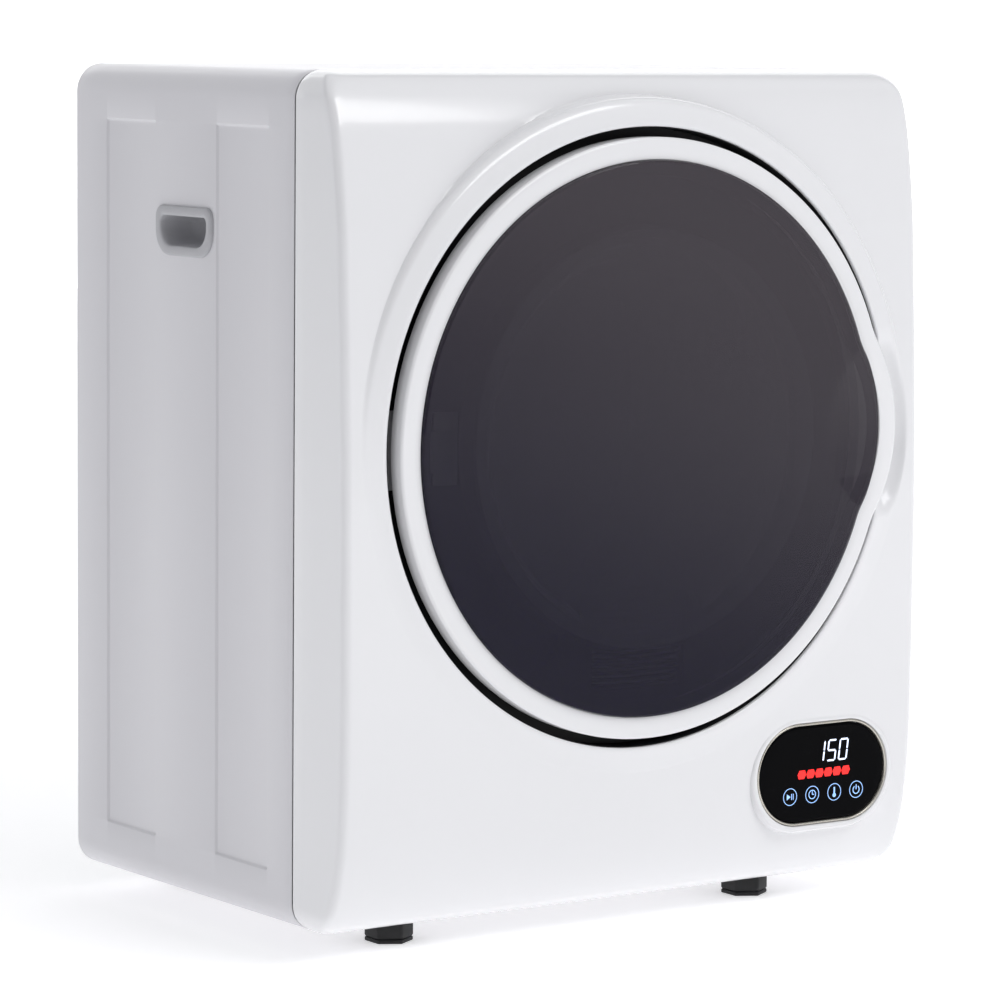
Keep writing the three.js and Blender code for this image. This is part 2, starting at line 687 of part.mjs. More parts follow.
function frontFascia() {
  const shell = cut(fasciaBody(0), fasciaBody(FASCIA_WALL));
  const collar = turned([
    [RECESS_RADIUS - 2, Y_FASCIA],
    [COLLAR_FACE_RADIUS, Y_FASCIA],
    [COLLAR_RADIUS, Y_FASCIA + COLLAR_RADIUS - COLLAR_FACE_RADIUS],
    [COLLAR_RADIUS, Y_FASCIA + COLLAR_DEPTH],
    [RECESS_RADIUS - 2, Y_FASCIA + COLLAR_DEPTH],
  ], 0, Z_AXIS);
  const trimmedCollar = overlap(collar, prismY(cabinetOutline(FASCIA_WALL / 2), Y_PANE, Y_SEAM, 6));
  const recess = rod(RECESS_RADIUS, Y_PANE - 1, Y_SEAM + 9, 0, Z_AXIS);
  const fingerDish = new THREE.SphereGeometry(1, 18, 10)
    .scale(FINGER_DISH_WIDTH, FINGER_DISH_DEPTH, FINGER_DISH_HEIGHT)
    .translate(RING_RADIUS + 5, Y_FASCIA - 3, Z_AXIS);
  const podOuter = stadium(
    GLASS_WIDTH + 2 * (BEZEL_RIM + POD_RIM),
    GLASS_HEIGHT + 2 * (BEZEL_RIM + POD_RIM),
    POD_X,
    POD_Z,
  );
  const podInner = stadium(
    GLASS_WIDTH + 2 * (BEZEL_RIM + CLEARANCE),
    GLASS_HEIGHT + 2 * (BEZEL_RIM + CLEARANCE),
    POD_X,
    POD_Z,
  );
  const pod = prismY(podOuter, Y_POD, Y_POD + POD_DEPTH, 6);
  const podPocket = prismY(podInner, Y_POD - 10, Y_POD + 10, 6);
  const podBack = block(
    [POD_X - GLASS_WIDTH / 2 + 12, POD_X + GLASS_WIDTH / 2 - 12],
    [Y_POD, Y_POD + 40],
    [POD_Z - GLASS_HEIGHT / 2 + 12, POD_Z + GLASS_HEIGHT / 2 - 12],
  );
  return cut(join(shell, trimmedCollar, pod), recess, fingerDish, podPocket, podBack);
}

function controls() {
  const outer = stadium(GLASS_WIDTH + 2 * BEZEL_RIM, GLASS_HEIGHT + 2 * BEZEL_RIM, POD_X, POD_Z);
  const seat = stadium(GLASS_WIDTH + 2 * CLEARANCE, GLASS_HEIGHT + 2 * CLEARANCE, POD_X, POD_Z);
  const window = stadium(GLASS_WIDTH - 8, GLASS_HEIGHT - 8, POD_X, POD_Z);
  const glass = stadium(GLASS_WIDTH, GLASS_HEIGHT, POD_X, POD_Z);
  const bezel = cut(
    prismY(outer, Y_POD + 0.5, Y_POD + 0.5 + BEZEL_DEPTH, 6),
    prismY(seat, Y_POD, Y_POD + 5, 6),
    prismY(window, Y_POD, Y_POD + 12, 6),
  );
  const board = block(
    [POD_X - GLASS_WIDTH / 2 + 14, POD_X + GLASS_WIDTH / 2 - 14],
    [Y_POD + 12, Y_POD + 14],
    [POD_Z - GLASS_HEIGHT / 2 + 14, POD_Z + GLASS_HEIGHT / 2 - 14],
  );
  return gather(
    piece('control_bezel', bezel, silverPaint),
    piece('control_glass', prismY(glass, Y_GLASS, Y_GLASS + GLASS_THICKNESS, 6), blackGlass),
    piece('control_board', board, boardGreen),
  );
}

function frontBulkhead() {
  const front = Y_FRONT_BULKHEAD;
  const back = front + SHEET;
  return cut(
    prismY(cabinetOutline(SHEET + CLEARANCE), front, back, CORNER_SIDES),
    rod(THROAT_FLANGE_RADIUS + 1.5, front - 1, back + 1, 0, Z_AXIS),
    rod(BLOWER_EYE + 4, front - 1, back + 1, MOTOR_X, MOTOR_Z, COARSE),
  );
}

// The drum's bearing plate stands on the base plate, so its lower edge is straight.
function rearBulkhead() {
  const y0 = Y_REAR_BULKHEAD;
  const y1 = y0 + SHEET;
  const plate = overlap(
    prismY(cabinetOutline(SHEET + CLEARANCE), y0, y1, CORNER_SIDES),
    block([-HALF_WIDTH, HALF_WIDTH], [y0 - 1, y1 + 1], [Z_BASE_TOP + CLEARANCE, Z_TOP]),
  );
  const hub = rod(BUSH_RADIUS + HUB_WALL, y0, y0 + HUB_LENGTH, 0, Z_AXIS, COARSE);
  const bore = rod(BUSH_RADIUS + CLEARANCE, y0 - 1, y0 + HUB_LENGTH + 1, 0, Z_AXIS, COARSE);
  const ductHole = rod(DUCT_RADIUS + 1, y0 - 1, y1 + 1, DUCT_X, DUCT_Z, COARSE);
  const hotAir = block(
    [-HEATER_WIDTH / 2 + 8, HEATER_WIDTH / 2 - 8],
    [y0 - 1, y1 + 1],
    [HEATER_Z[0] + 6, HEATER_Z[1] - 6],
  );
  return cut(join(plate, hub), bore, ductHole, hotAir, ...pressingRoom());
}

// The flanged mouth that the drum turns on: front plate, cone and flange in one turned piece.
// Room that the throat's cone takes up behind its front plate, grown by a margin.
function throatRoom(margin) {
  const inner = THROAT_RADIUS + THROAT_WALL + CLEARANCE + margin;
  const end = Y_SEAM - 2;
  return turned([
    [0, Y_THROAT],
    [inner, Y_THROAT],
    [inner, Y_THROAT + THROAT_CONE_START - 1],
    [THROAT_FLANGE_RADIUS + CLEARANCE + margin, end],
    [0, end],
  ], 0, Z_AXIS);
}

function drumThroat() {
  const wall = THROAT_WALL;
  const cone = Y_THROAT + THROAT_CONE_START;
  const flangeFront = Y_SEAM - 1;
  const flange = THROAT_FLANGE_RADIUS;
  const turnedThroat = turned([
    [THROAT_RADIUS, Y_THROAT],
    [RECESS_RADIUS - THROAT_PLATE_GAP, Y_THROAT],
    [RECESS_RADIUS - THROAT_PLATE_GAP, Y_THROAT + wall],
    [THROAT_RADIUS + wall, Y_THROAT + wall],
    [THROAT_RADIUS + wall, cone - 1],
    [flange, flangeFront - 1],
    [flange, Y_DRUM_FRONT + 12],
    [flange - wall, Y_DRUM_FRONT + 12],
    [flange - wall, flangeFront],
    [THROAT_RADIUS, cone],
  ], 0, Z_AXIS);
  const through = [Y_THROAT - 1, Y_THROAT + wall + 1];
  const airPort = block(
    [-AIR_PORT_HALF_WIDTH, AIR_PORT_HALF_WIDTH],
    through,
    [Z_AXIS - AIR_PORT_TOP, Z_AXIS - AIR_PORT_TOP + AIR_PORT_HEIGHT],
  );
  const latchSlot = block(
    [X_LATCH - 7, X_LATCH + 10],
    through,
    [Z_AXIS - LATCH_SLOT_HALF, Z_AXIS + LATCH_SLOT_HALF],
  );
  const plungerHole = rod(PLUNGER_RADIUS + 0.5, through[0], through[1], SWITCH_X, SWITCH_Z, 16);
  return cut(turnedThroat, airPort, latchSlot, plungerHole);
}

function doorSwitch() {
  const y0 = Y_THROAT + THROAT_WALL + CLEARANCE;
  const half = SWITCH_SIZE / 2;
  const body = block(
    [SWITCH_X - half, SWITCH_X + half],
    [y0, y0 + SWITCH_SIZE],
    [SWITCH_Z - half, SWITCH_Z + half],
  );
  const bore = rod(PLUNGER_RADIUS + CLEARANCE, y0 - 1, y0 + SWITCH_SIZE - 3, SWITCH_X, SWITCH_Z, 16);
  return cut(body, bore, throatRoom(0));
}

function doorPlunger() {
  return rod(PLUNGER_RADIUS, Y_DOOR_BACK + CLEARANCE, Y_THROAT + 14, SWITCH_X, SWITCH_Z, 16);
}

// The catch behind the throat's plate, open at the front for the latch hook.
function doorCatch() {
  const y0 = Y_THROAT + THROAT_WALL + CLEARANCE;
  const housing = block(
    [X_LATCH - 9, X_LATCH + 17],
    [y0, y0 + CATCH_DEPTH],
    [Z_AXIS - CATCH_HALF_HEIGHT, Z_AXIS + CATCH_HALF_HEIGHT],
  );
  const pocket = block(
    [X_LATCH - 7, X_LATCH + 10],
    [y0 - 1, y0 + CATCH_DEPTH - 1.5],
    [Z_AXIS - LATCH_SLOT_HALF, Z_AXIS + LATCH_SLOT_HALF],
  );
  return cut(housing, pocket, throatRoom(0));
}

// The fixed half of the hinge: a plate on the throat and a hooked arm that reaches into the door.
function hingeBracket() {
  const back = Y_THROAT - CLEARANCE;
  const front = back - 2;
  const half = HINGE_ARM_THICKNESS / 2;
  const plate = block(
    [X_HINGE_ARM, X_HINGE_ARM + HINGE_PLATE_WIDTH],
    [front, back],
    [Z_AXIS - HINGE_PLATE_HALF, Z_AXIS + HINGE_PLATE_HALF],
  );
  const armX = [X_HINGE_ARM, X_HINGE_ARM + HINGE_ARM_THICKNESS];
  const armZ = [Z_AXIS - HINGE_ARM_HALF, Z_AXIS + HINGE_ARM_HALF];
  const upright = block(armX, [Y_HINGE - half, back], armZ);
  const reach = block([X_HINGE, armX[1]], [Y_HINGE - half, Y_HINGE + half], armZ);
  const eye = uprightRod(HINGE_PIN_RADIUS + 2.2, armZ[0], armZ[1], X_HINGE, Y_HINGE, 16);
  const pinRoom = HINGE_PIN_RADIUS + CLEARANCE;
  const pinHole = uprightRod(pinRoom, armZ[0] - 1, armZ[1] + 1, X_HINGE, Y_HINGE, 16);
  return cut(join(plate, upright, reach, eye), pinHole);
}

function feltSeal() {
  const inner = THROAT_FLANGE_RADIUS + 0.6;
  const outer = inner + FELT_THICKNESS;
  return pipe(outer, inner, Y_DRUM_FRONT - 1.5, Y_DRUM_FRONT + 11, 0, Z_AXIS);
}

function front() {
  return gather(
    piece('front_fascia', frontFascia(), whiteGloss),
    piece('front_bulkhead', frontBulkhead(), zincSteel),
    piece('rear_bulkhead', rearBulkhead(), zincSteel),
    piece('drum_throat', drumThroat(), whitePlastic),
    piece('felt_seal', feltSeal(), felt),
    piece('hinge_bracket', hingeBracket(), castAluminium),
    piece('door_catch', doorCatch(), whitePlastic),
    piece('door_switch', doorSwitch(), whitePlastic),
    piece('door_plunger', doorPlunger(), whitePlastic),
  );
}

// ---------------------------------------------------------------------------
// Door
// ---------------------------------------------------------------------------

// The room that the hinge arm needs inside the door as the door swings.
function hingePocket() {
  return block(
    [X_HINGE - 7, X_HINGE_POCKET],
    [Y_HINGE - HINGE_PIN_RADIUS - 3, Y_DOOR_BACK + 2],
    [Z_AXIS - HINGE_ARM_HALF - 2, Z_AXIS + HINGE_ARM_HALF + 2],
  );
}

function doorRing() {
  const seat = PANE_RADIUS + CLEARANCE;
  const pinHole = uprightRod(
    HINGE_PIN_RADIUS + CLEARANCE,
    Z_AXIS - HINGE_PIN_HALF - CLEARANCE,
    Z_AXIS + HINGE_PIN_HALF + CLEARANCE,
    X_HINGE,
    Y_HINGE,
    16,
  );
  return cut(
    doorDisc(RING_RADIUS, Y_RING, Y_RING_BACK),
    doorDisc(seat, Y_RING - 1, Y_PANE_BACK + 0.4),
    rod(BACK_FRAME_RADIUS + 1, Y_RING - 1, Y_RING_BACK + 1, 0, Z_AXIS),
    hingePocket(),
    pinHole,
  );
}

// The thumb scoop is a shallow dish whose edge is a circle on the pane's face.
function doorPane() {
  const ball = (SCOOP_RADIUS ** 2 + SCOOP_DEPTH ** 2) / (2 * SCOOP_DEPTH);
  const centreX = PANE_RADIUS + GRIP_BULGE - SCOOP_INSET + SCOOP_RADIUS;
  const scoop = new THREE.SphereGeometry(ball, 96, 64)
    .translate(centreX, Y_PANE + SCOOP_DEPTH - ball, Z_AXIS);
  const cap = overlap(
    scoop,
    block(
      [centreX - SCOOP_RADIUS - 2, centreX + SCOOP_RADIUS],
      [Y_PANE - 1, Y_PANE_BACK],
      [Z_AXIS - SCOOP_RADIUS - 2, Z_AXIS + SCOOP_RADIUS + 2],
    ),
  );
  return cut(doorDisc(PANE_RADIUS, Y_PANE, Y_PANE_BACK), cap);
}

function doorInnerDish() {
  const rimBack = Y_DOOR_INSIDE + DISH_WALL;
  const floor = Y_DOOR_INSIDE + DISH_DEPTH;
  const slopeTop = DISH_RADIUS - 9;
  const slopeBottom = DISH_RADIUS - 17;
  const middle = 10;
  const rim = turned([
    [middle, floor - DISH_WALL],
    [slopeBottom, floor - DISH_WALL],
    [slopeTop, Y_DOOR_INSIDE],
    [DISH_RADIUS, Y_DOOR_INSIDE],
    [DISH_RADIUS, rimBack],
    [slopeTop + 1, rimBack],
    [slopeBottom + 1, floor],
    [middle, floor],
  ], 0, Z_AXIS);
  return join(rim, rod(middle + 1, floor - DISH_WALL, floor, 0, Z_AXIS));
}

// The inner door frame: a channel behind the pane, with the lint filter's hood at the bottom.
function doorBackFrame() {
  const inner = DISH_RADIUS + 0.4;
  const outer = BACK_FRAME_RADIUS;
  const plate = Y_DOOR_BACK - DOOR_WALL;
  const flangeFront = Y_RING_BACK + CLEARANCE;
  const channel = turned([
    [inner, Y_DOOR_INSIDE],
    [inner + DOOR_WALL, Y_DOOR_INSIDE],
    [inner + DOOR_WALL, plate],
    [outer - DOOR_WALL, plate],
    [outer - DOOR_WALL, flangeFront],
    [outer + FLANGE_WIDTH, flangeFront],
    [outer + FLANGE_WIDTH, flangeFront + FLANGE_THICKNESS],
    [outer, flangeFront + FLANGE_THICKNESS],
    [outer, Y_DOOR_BACK],
    [inner, Y_DOOR_BACK],
  ], 0, Z_AXIS);
  const half = FILTER_HALF_WIDTH;
  const topHalf = half + 4;
  const bottomHalf = topHalf + HOOD_FLARE * (FILTER_HEIGHT + 4);
  const hoodShape = polygon([
    [-bottomHalf, FILTER_Z[0] - 4],
    [bottomHalf, FILTER_Z[0] - 4],
    [topHalf, FILTER_Z[1]],
    [-topHalf, FILTER_Z[1]],
  ]);
  const hood = overlap(
    prismY(hoodShape, FILTER_Y[0] - 2, Y_DOOR_BACK),
    rod(outer - 1, Y_PANE, Y_THROAT, 0, Z_AXIS),
  );
  const pocket = block(
    [-half - CLEARANCE, half + CLEARANCE],
    [FILTER_Y[0] - CLEARANCE, FILTER_Y[1] + CLEARANCE],
    [FILTER_Z[0] - CLEARANCE, FILTER_Z[1] + 30],
  );
  const window = block(
    [-half + 4, half - 4],
    [Y_DOOR_INSIDE - 1, Y_DOOR_BACK + 1],
    [FILTER_Z[0] + 4, FILTER_Z[1] - 4],
  );
  const wallAbove = turned([
    [inner, Y_DOOR_INSIDE],
    [inner + DOOR_WALL, Y_DOOR_INSIDE],
    [inner + DOOR_WALL, FILTER_Y[0] - 1],
    [inner, FILTER_Y[0] - 1],
  ], 0, Z_AXIS);
  const opened = cut(join(channel, hood), pocket, window, hingePocket());
  return join(opened, wallAbove);
}

function doorSeal() {
  const inner = DISH_RADIUS - SEAL_INSET;
  return pipe(inner + SEAL_WIDTH, inner, Y_DOOR_BACK + CLEARANCE, Y_THROAT - CLEARANCE, 0, Z_AXIS);
}

function hingeLeaf() {
  const back = Y_DOOR_BACK - DOOR_WALL - CLEARANCE;
  const left = X_HINGE_POCKET + 2.5;
  return block(
    [left, left + HINGE_LEAF_WIDTH],
    [back - 2, back],
    [Z_AXIS - HINGE_PLATE_HALF, Z_AXIS + HINGE_PLATE_HALF],
  );
}

function hingePin() {
  const z = [Z_AXIS - HINGE_PIN_HALF, Z_AXIS + HINGE_PIN_HALF];
  return uprightRod(HINGE_PIN_RADIUS, z[0], z[1], X_HINGE, Y_HINGE, 16);
}

function latchHook() {
  const y0 = Y_DOOR_BACK + CLEARANCE;
  const half = LATCH_WIDTH / 2;
  const length = Y_THROAT - Y_DOOR_BACK + CATCH_DEPTH;
  const height = [Z_AXIS - LATCH_HALF_HEIGHT, Z_AXIS + LATCH_HALF_HEIGHT];
  const plate = block([X_LATCH - 7, X_LATCH + 9], [y0, y0 + 2], [height[0] - 6, height[1] + 6]);
  const stem = block([X_LATCH - half, X_LATCH + half - 2], [y0, y0 + length], height);
  const barb = block([X_LATCH - half, X_LATCH + half], [y0 + length - 4, y0 + length], height);
  return join(plate, stem, barb);
}

// The pull-out filter's frame, with level louvres across its window and a tab on top.
function lintFrame() {
  const half = FILTER_HALF_WIDTH;
  const screenSeat = FILTER_Y[1] - 1.6;
  const plate = block([-half, half], FILTER_Y, FILTER_Z);
  const tab = block([-14, 14], FILTER_Y, [FILTER_Z[1] - 1, FILTER_Z[1] + 4]);
  const seat = block(
    [-half + FILTER_RIM, half - FILTER_RIM],
    [screenSeat, FILTER_Y[1] + 1],
    [FILTER_Z[0] + FILTER_RIM, FILTER_Z[1] - FILTER_RIM],
  );
  const slots = [];
  for (let i = 0; i < LOUVRE_COUNT; i += 1) {
    const z = FILTER_Z[1] - 2 * FILTER_RIM - (i + 0.5) * LOUVRE_PITCH;
    const height = [z - LOUVRE_PITCH / 4, z + LOUVRE_PITCH / 4];
    slots.push(block([-half + 6, half - 6], [FILTER_Y[0] - 1, FILTER_Y[1]], height));
  }
  return cut(join(plate, tab), seat, ...slots);
}

function lintScreen() {
  const edge = FILTER_RIM + CLEARANCE;
  const half = FILTER_HALF_WIDTH - edge;
  const y = [FILTER_Y[1] - 1.2, FILTER_Y[1] - 0.4];
  return block([-half, half], y, [FILTER_Z[0] + edge, FILTER_Z[1] - edge]);
}

function door() {
  return gather(
    piece('door_ring', doorRing(), whiteGloss),
    piece('door_pane', doorPane(), smokedGlass),
    piece('door_inner_dish', doorInnerDish(), clearPlastic),
    piece('door_back_frame', doorBackFrame(), darkPlastic),
    piece('door_seal', doorSeal(), rubber),
    piece('hinge_leaf', hingeLeaf(), zincSteel),
    piece('hinge_pin', hingePin(), stainless),
    piece('latch_hook', latchHook(), whitePlastic),
    piece('lint_frame', lintFrame(), darkPlastic),
    piece('lint_screen', lintScreen(), stainless),
  );
}

// ---------------------------------------------------------------------------
// Drum
// ---------------------------------------------------------------------------

function drumShell() {
  const neck = DRUM_NECK_RADIUS;
  const shoulder = Y_DRUM_FRONT + 14;
  const inner = DRUM_RADIUS - DRUM_WALL;
  return turned([
    [neck, Y_DRUM_FRONT],
    [neck + DRUM_WALL, Y_DRUM_FRONT],
    [neck + DRUM_WALL, shoulder],
    [DRUM_RADIUS, shoulder + 10],
    [DRUM_RADIUS, Y_DRUM_REAR],
    [inner, Y_DRUM_REAR],
    [inner, shoulder + 10.8],
    [neck, shoulder + 0.8],
  ], 0, Z_AXIS);
}

function drumBack() {
  const disc = rod(DRUM_RADIUS - DRUM_WALL - 0.4, Y_DRUM_REAR - 3, Y_DRUM_REAR - 0.4, 0, Z_AXIS);
  const bore = rod(SHAFT_RADIUS + CLEARANCE, Y_DRUM_REAR - 4, Y_DRUM_REAR + 1, 0, Z_AXIS, COARSE);
  const holes = [];
  for (let i = 0; i < DRUM_HOLE_COUNT; i += 1) {
    const angle = (2 * Math.PI * i) / DRUM_HOLE_COUNT;
    const x = HEATER_RISE * Math.sin(angle);
    const z = Z_AXIS + HEATER_RISE * Math.cos(angle);
    holes.push(rod(DRUM_HOLE_RADIUS, Y_DRUM_REAR - 4, Y_DRUM_REAR + 1, x, z, 8));
  }
  return cut(disc, bore, ...holes);
}

function drumShaft() {
  const y = Y_DRUM_REAR;
  const bar = rod(SHAFT_RADIUS, y - 8, y + 23, 0, Z_AXIS, COARSE);
  return join(bar, rod(SHAFT_FLANGE_RADIUS, y + CLEARANCE, y + 3, 0, Z_AXIS, COARSE));
}

function bearingBush() {
  const inner = SHAFT_RADIUS + BEARING_CLEARANCE;
  const y0 = Y_REAR_BULKHEAD;
  return pipe(BUSH_RADIUS, inner, y0 - 0.5, y0 + HUB_LENGTH, 0, Z_AXIS, COARSE);
}

// One lifter: a tapered ridge along the drum's wall, drawn at the bottom of the drum.
function lifter() {
  const foot = -Math.sqrt((DRUM_RADIUS - DRUM_WALL) ** 2 - (LIFTER_BASE / 2) ** 2) + 1;
  const ridge = polygon([
    [-LIFTER_BASE / 2, foot],
    [LIFTER_BASE / 2, foot],
    [LIFTER_TOP / 2, foot + LIFTER_HEIGHT],
    [-LIFTER_TOP / 2, foot + LIFTER_HEIGHT],
  ]);
  return prismY(ridge, Y_DRUM_FRONT + 30, Y_DRUM_REAR - 4);
}

function drum() {
  const group = gather(
    piece('drum_shell', drumShell(), stainless),
    piece('drum_back', drumBack(), stainless),
    piece('drum_shaft', drumShaft(), zincSteel),
    piece('bearing_bush', bearingBush(), castAluminium),
  );
  for (let i = 0; i < LIFTER_COUNT; i += 1) {
    const blade = piece(`drum_lifter_${i + 1}`, lifter(), whitePlastic);
    blade.position.set(0, 0, Z_AXIS);
    blade.rotation.y = (2 * Math.PI * i) / LIFTER_COUNT;
    group.add(blade);
  }
  return group;
}

// ---------------------------------------------------------------------------
// Drive
// ---------------------------------------------------------------------------

// The belt's lower run touches the drum and the motor pulley on the same side.
const beltSpan = Math.hypot(MOTOR_X, Z_AXIS - MOTOR_Z);
const beltHeading = Math.atan2(MOTOR_Z - Z_AXIS, MOTOR_X);
const beltLean = Math.acos((DRUM_RADIUS - PULLEY_RADIUS) / beltSpan);

// The belt's outline at a distance outside the drum and pulley faces.
function beltOutline(offset) {
  const first = beltHeading - beltLean;
  const last = beltHeading + beltLean;
  const shape = new THREE.Shape();
  shape.absarc(0, Z_AXIS, DRUM_RADIUS + offset, last, first + 2 * Math.PI, false);
  shape.absarc(MOTOR_X, MOTOR_Z, PULLEY_RADIUS + offset, first, last, false);
  return shape;
}

function drumBelt() {
  const y = [BELT_Y - BELT_WIDTH / 2, BELT_Y + BELT_WIDTH / 2];
  const outer = prismY(beltOutline(BELT_GAP + BELT_THICKNESS), y[0], y[1], 20);
  return cut(outer, prismY(beltOutline(BELT_GAP), y[0] - 1, y[1] + 1, 20));
}

// The idler presses on the outside of the belt's lower run.
const runAngle = beltHeading - beltLean;
const runNormal = [Math.cos(runAngle), Math.sin(runAngle)];
const runDirection = [-runNormal[1], runNormal[0]];
const idlerReach = PULLEY_RADIUS + BELT_GAP + BELT_THICKNESS + CLEARANCE + IDLER_RADIUS;
const idlerX = MOTOR_X + runNormal[0] * idlerReach - runDirection[0] * IDLER_BACK;
const idlerZ = MOTOR_Z + runNormal[1] * idlerReach - runDirection[1] * IDLER_BACK;
const pivotX = idlerX - IDLER_SPAN * 0.9;
const pivotZ = idlerZ - IDLER_SPAN * 0.45;
const armY = [BELT_Y + BELT_WIDTH / 2 + 2.5, BELT_Y + BELT_WIDTH / 2 + 5.5];

function idlerArm() {
  const angle = Math.atan2(idlerZ - pivotZ, idlerX - pivotX);
  const length = Math.hypot(idlerX - pivotX, idlerZ - pivotZ);
  const link = new THREE.BoxGeometry(length, armY[1] - armY[0], 7)
    .rotateY(-angle)
    .translate((idlerX + pivotX) / 2, (armY[0] + armY[1]) / 2, (idlerZ + pivotZ) / 2);
  const tail = block(
    [pivotX - TAIL_LENGTH - 4, pivotX],
    armY,
    [pivotZ - TAIL_THICKNESS / 2, pivotZ + TAIL_THICKNESS / 2],
  );
  const boss = rod(7.5, armY[0], armY[1], pivotX, pivotZ, 20);
  const pinEnd = rod(5, armY[0], armY[1], idlerX, idlerZ, 16);
  const pin = rod(IDLER_PIN_RADIUS, BELT_Y - BELT_WIDTH / 2 - 1, armY[1], idlerX, idlerZ, 16);
  const bore = rod(IDLER_PIVOT_RADIUS + CLEARANCE, armY[0] - 1, armY[1] + 1, pivotX, pivotZ, 16);
  return cut(join(link, tail, boss, pinEnd, pin), bore);
}

function idlerWheel() {
  const y = [BELT_Y - BELT_WIDTH / 2 - 1, BELT_Y + BELT_WIDTH / 2 + 1.5];
  return pipe(IDLER_RADIUS, IDLER_PIN_RADIUS + CLEARANCE, y[0], y[1], idlerX, idlerZ, 24);
}

// An upright coil, stretched between the idler arm's tail and the bracket's foot.
class Coil extends THREE.Curve {
  constructor(start, length, radius, turns) {
    super();
    Object.assign(this, { start, length, radius, turns });
  }

  getPoint(t, target = new THREE.Vector3()) {
    const angle = 2 * Math.PI * this.turns * t;
    return target.set(
      this.start.x + this.radius * Math.cos(angle),
      this.start.y + this.radius * Math.sin(angle),
      this.start.z + this.length * t,
    );
  }
}

function idlerSpring() {
  const margin = SPRING_WIRE_RADIUS + 2 * CLEARANCE;
  const bottom = Z_BASE_TOP + 3 + margin;
  const top = pivotZ - TAIL_THICKNESS / 2 - margin;
  const start = new THREE.Vector3(pivotX - TAIL_LENGTH, (armY[0] + armY[1]) / 2, bottom);
  const coil = new Coil(start, top - bottom, SPRING_RADIUS, SPRING_TURNS);
  const wire = new THREE.Shape();
  wire.absarc(0, 0, SPRING_WIRE_RADIUS, 0, 2 * Math.PI, false);
  return new THREE.ExtrudeGeometry(wire, {
    steps: 8 * SPRING_TURNS,
    extrudePath: coil,
    curveSegments: 2,
    bevelEnabled: false,
  });
}

function motorBracket() {
  const z = [Z_BASE_TOP + CLEARANCE, Z_BASE_TOP + 3];
  const motorY = [Y_MOTOR, Y_MOTOR + MOTOR_LENGTH];
  const foot = block([pivotX - TAIL_LENGTH - 6, MOTOR_X + 40], [motorY[0] + 8, armY[1] + 6], z);
  const saddles = [motorY[0] + 8, motorY[1] - 12].map((y) =>
    block([MOTOR_X - 36, MOTOR_X + 36], [y, y + 4], [z[0], MOTOR_Z - MOTOR_RADIUS / 2]));
  const ear = block([pivotX - 12, pivotX + 12], [armY[1] + 2, armY[1] + 6], [z[0], pivotZ + 12]);
  const post = rod(IDLER_PIVOT_RADIUS, armY[0] - 1, armY[1] + 3, pivotX, pivotZ, 16);
  const cradle = rod(MOTOR_RADIUS + CLEARANCE, motorY[0] - 2, motorY[1] + 2, MOTOR_X, MOTOR_Z, COARSE);
  return join(cut(join(foot, ...saddles), cradle), ear, post);
}

function motorBody() {
  const y0 = Y_MOTOR;
  const y1 = y0 + MOTOR_LENGTH;
  const hole = MOTOR_SHAFT_RADIUS + 1;
  const core = MOTOR_RADIUS - 14;
  return turned([
    [hole, y0],
    [MOTOR_RADIUS - 6, y0],
    [MOTOR_RADIUS, y0 + 6],
    [MOTOR_RADIUS, y1 - 6],
    [MOTOR_RADIUS - 6, y1],
    [hole, y1],
    [hole, y1 - 8],
    [core, y1 - 8],
    [core, y0 + 8],
    [hole, y0 + 8],
  ], MOTOR_X, MOTOR_Z, COARSE);
}

function motorRotor() {
  const core = MOTOR_RADIUS - 15;
  return join(
    rod(MOTOR_SHAFT_RADIUS, Y_BLOWER + 6, BELT_Y + 14, MOTOR_X, MOTOR_Z, 24),
    rod(core, Y_MOTOR + 10, Y_MOTOR + MOTOR_LENGTH - 10, MOTOR_X, MOTOR_Z, COARSE),
  );
}

function motorPulley() {
  const half = BELT_WIDTH / 2 + 1;
  const flange = PULLEY_RADIUS + PULLEY_FLANGE;
  return turned([
    [MOTOR_SHAFT_RADIUS + CLEARANCE, BELT_Y - half - 2],
    [flange, BELT_Y - half - 2],
    [flange, BELT_Y - half],
    [PULLEY_RADIUS, BELT_Y - half],
    [PULLEY_RADIUS, BELT_Y + half],
    [flange, BELT_Y + half],
    [flange, BELT_Y + half + 2],
    [MOTOR_SHAFT_RADIUS + CLEARANCE, BELT_Y + half + 2],
  ], MOTOR_X, MOTOR_Z, 16);
}

function capacitor() {
  const x = HALF_WIDTH - 3 * CAPACITOR_RADIUS;
  const z = Z_BASE_TOP + CAPACITOR_RADIUS + CLEARANCE;
  return rod(CAPACITOR_RADIUS, -CAPACITOR_LENGTH / 2, CAPACITOR_LENGTH / 2, x, z, COARSE);
}

function drive() {
  return gather(
    piece('drum_belt', drumBelt(), rubber),
    piece('idler_arm', idlerArm(), zincSteel),
    piece('idler_wheel', idlerWheel(), darkPlastic),
    piece('idler_spring', idlerSpring(), stainless),
    piece('motor_bracket', motorBracket(), zincSteel),
    piece('motor_body', motorBody(), castAluminium),
    piece('motor_rotor', motorRotor(), stainless),
    piece('motor_pulley', motorPulley(), zincSteel),
    piece('capacitor', capacitor(), greyPlastic),
  );
}

// ---------------------------------------------------------------------------
// Air path
// ---------------------------------------------------------------------------

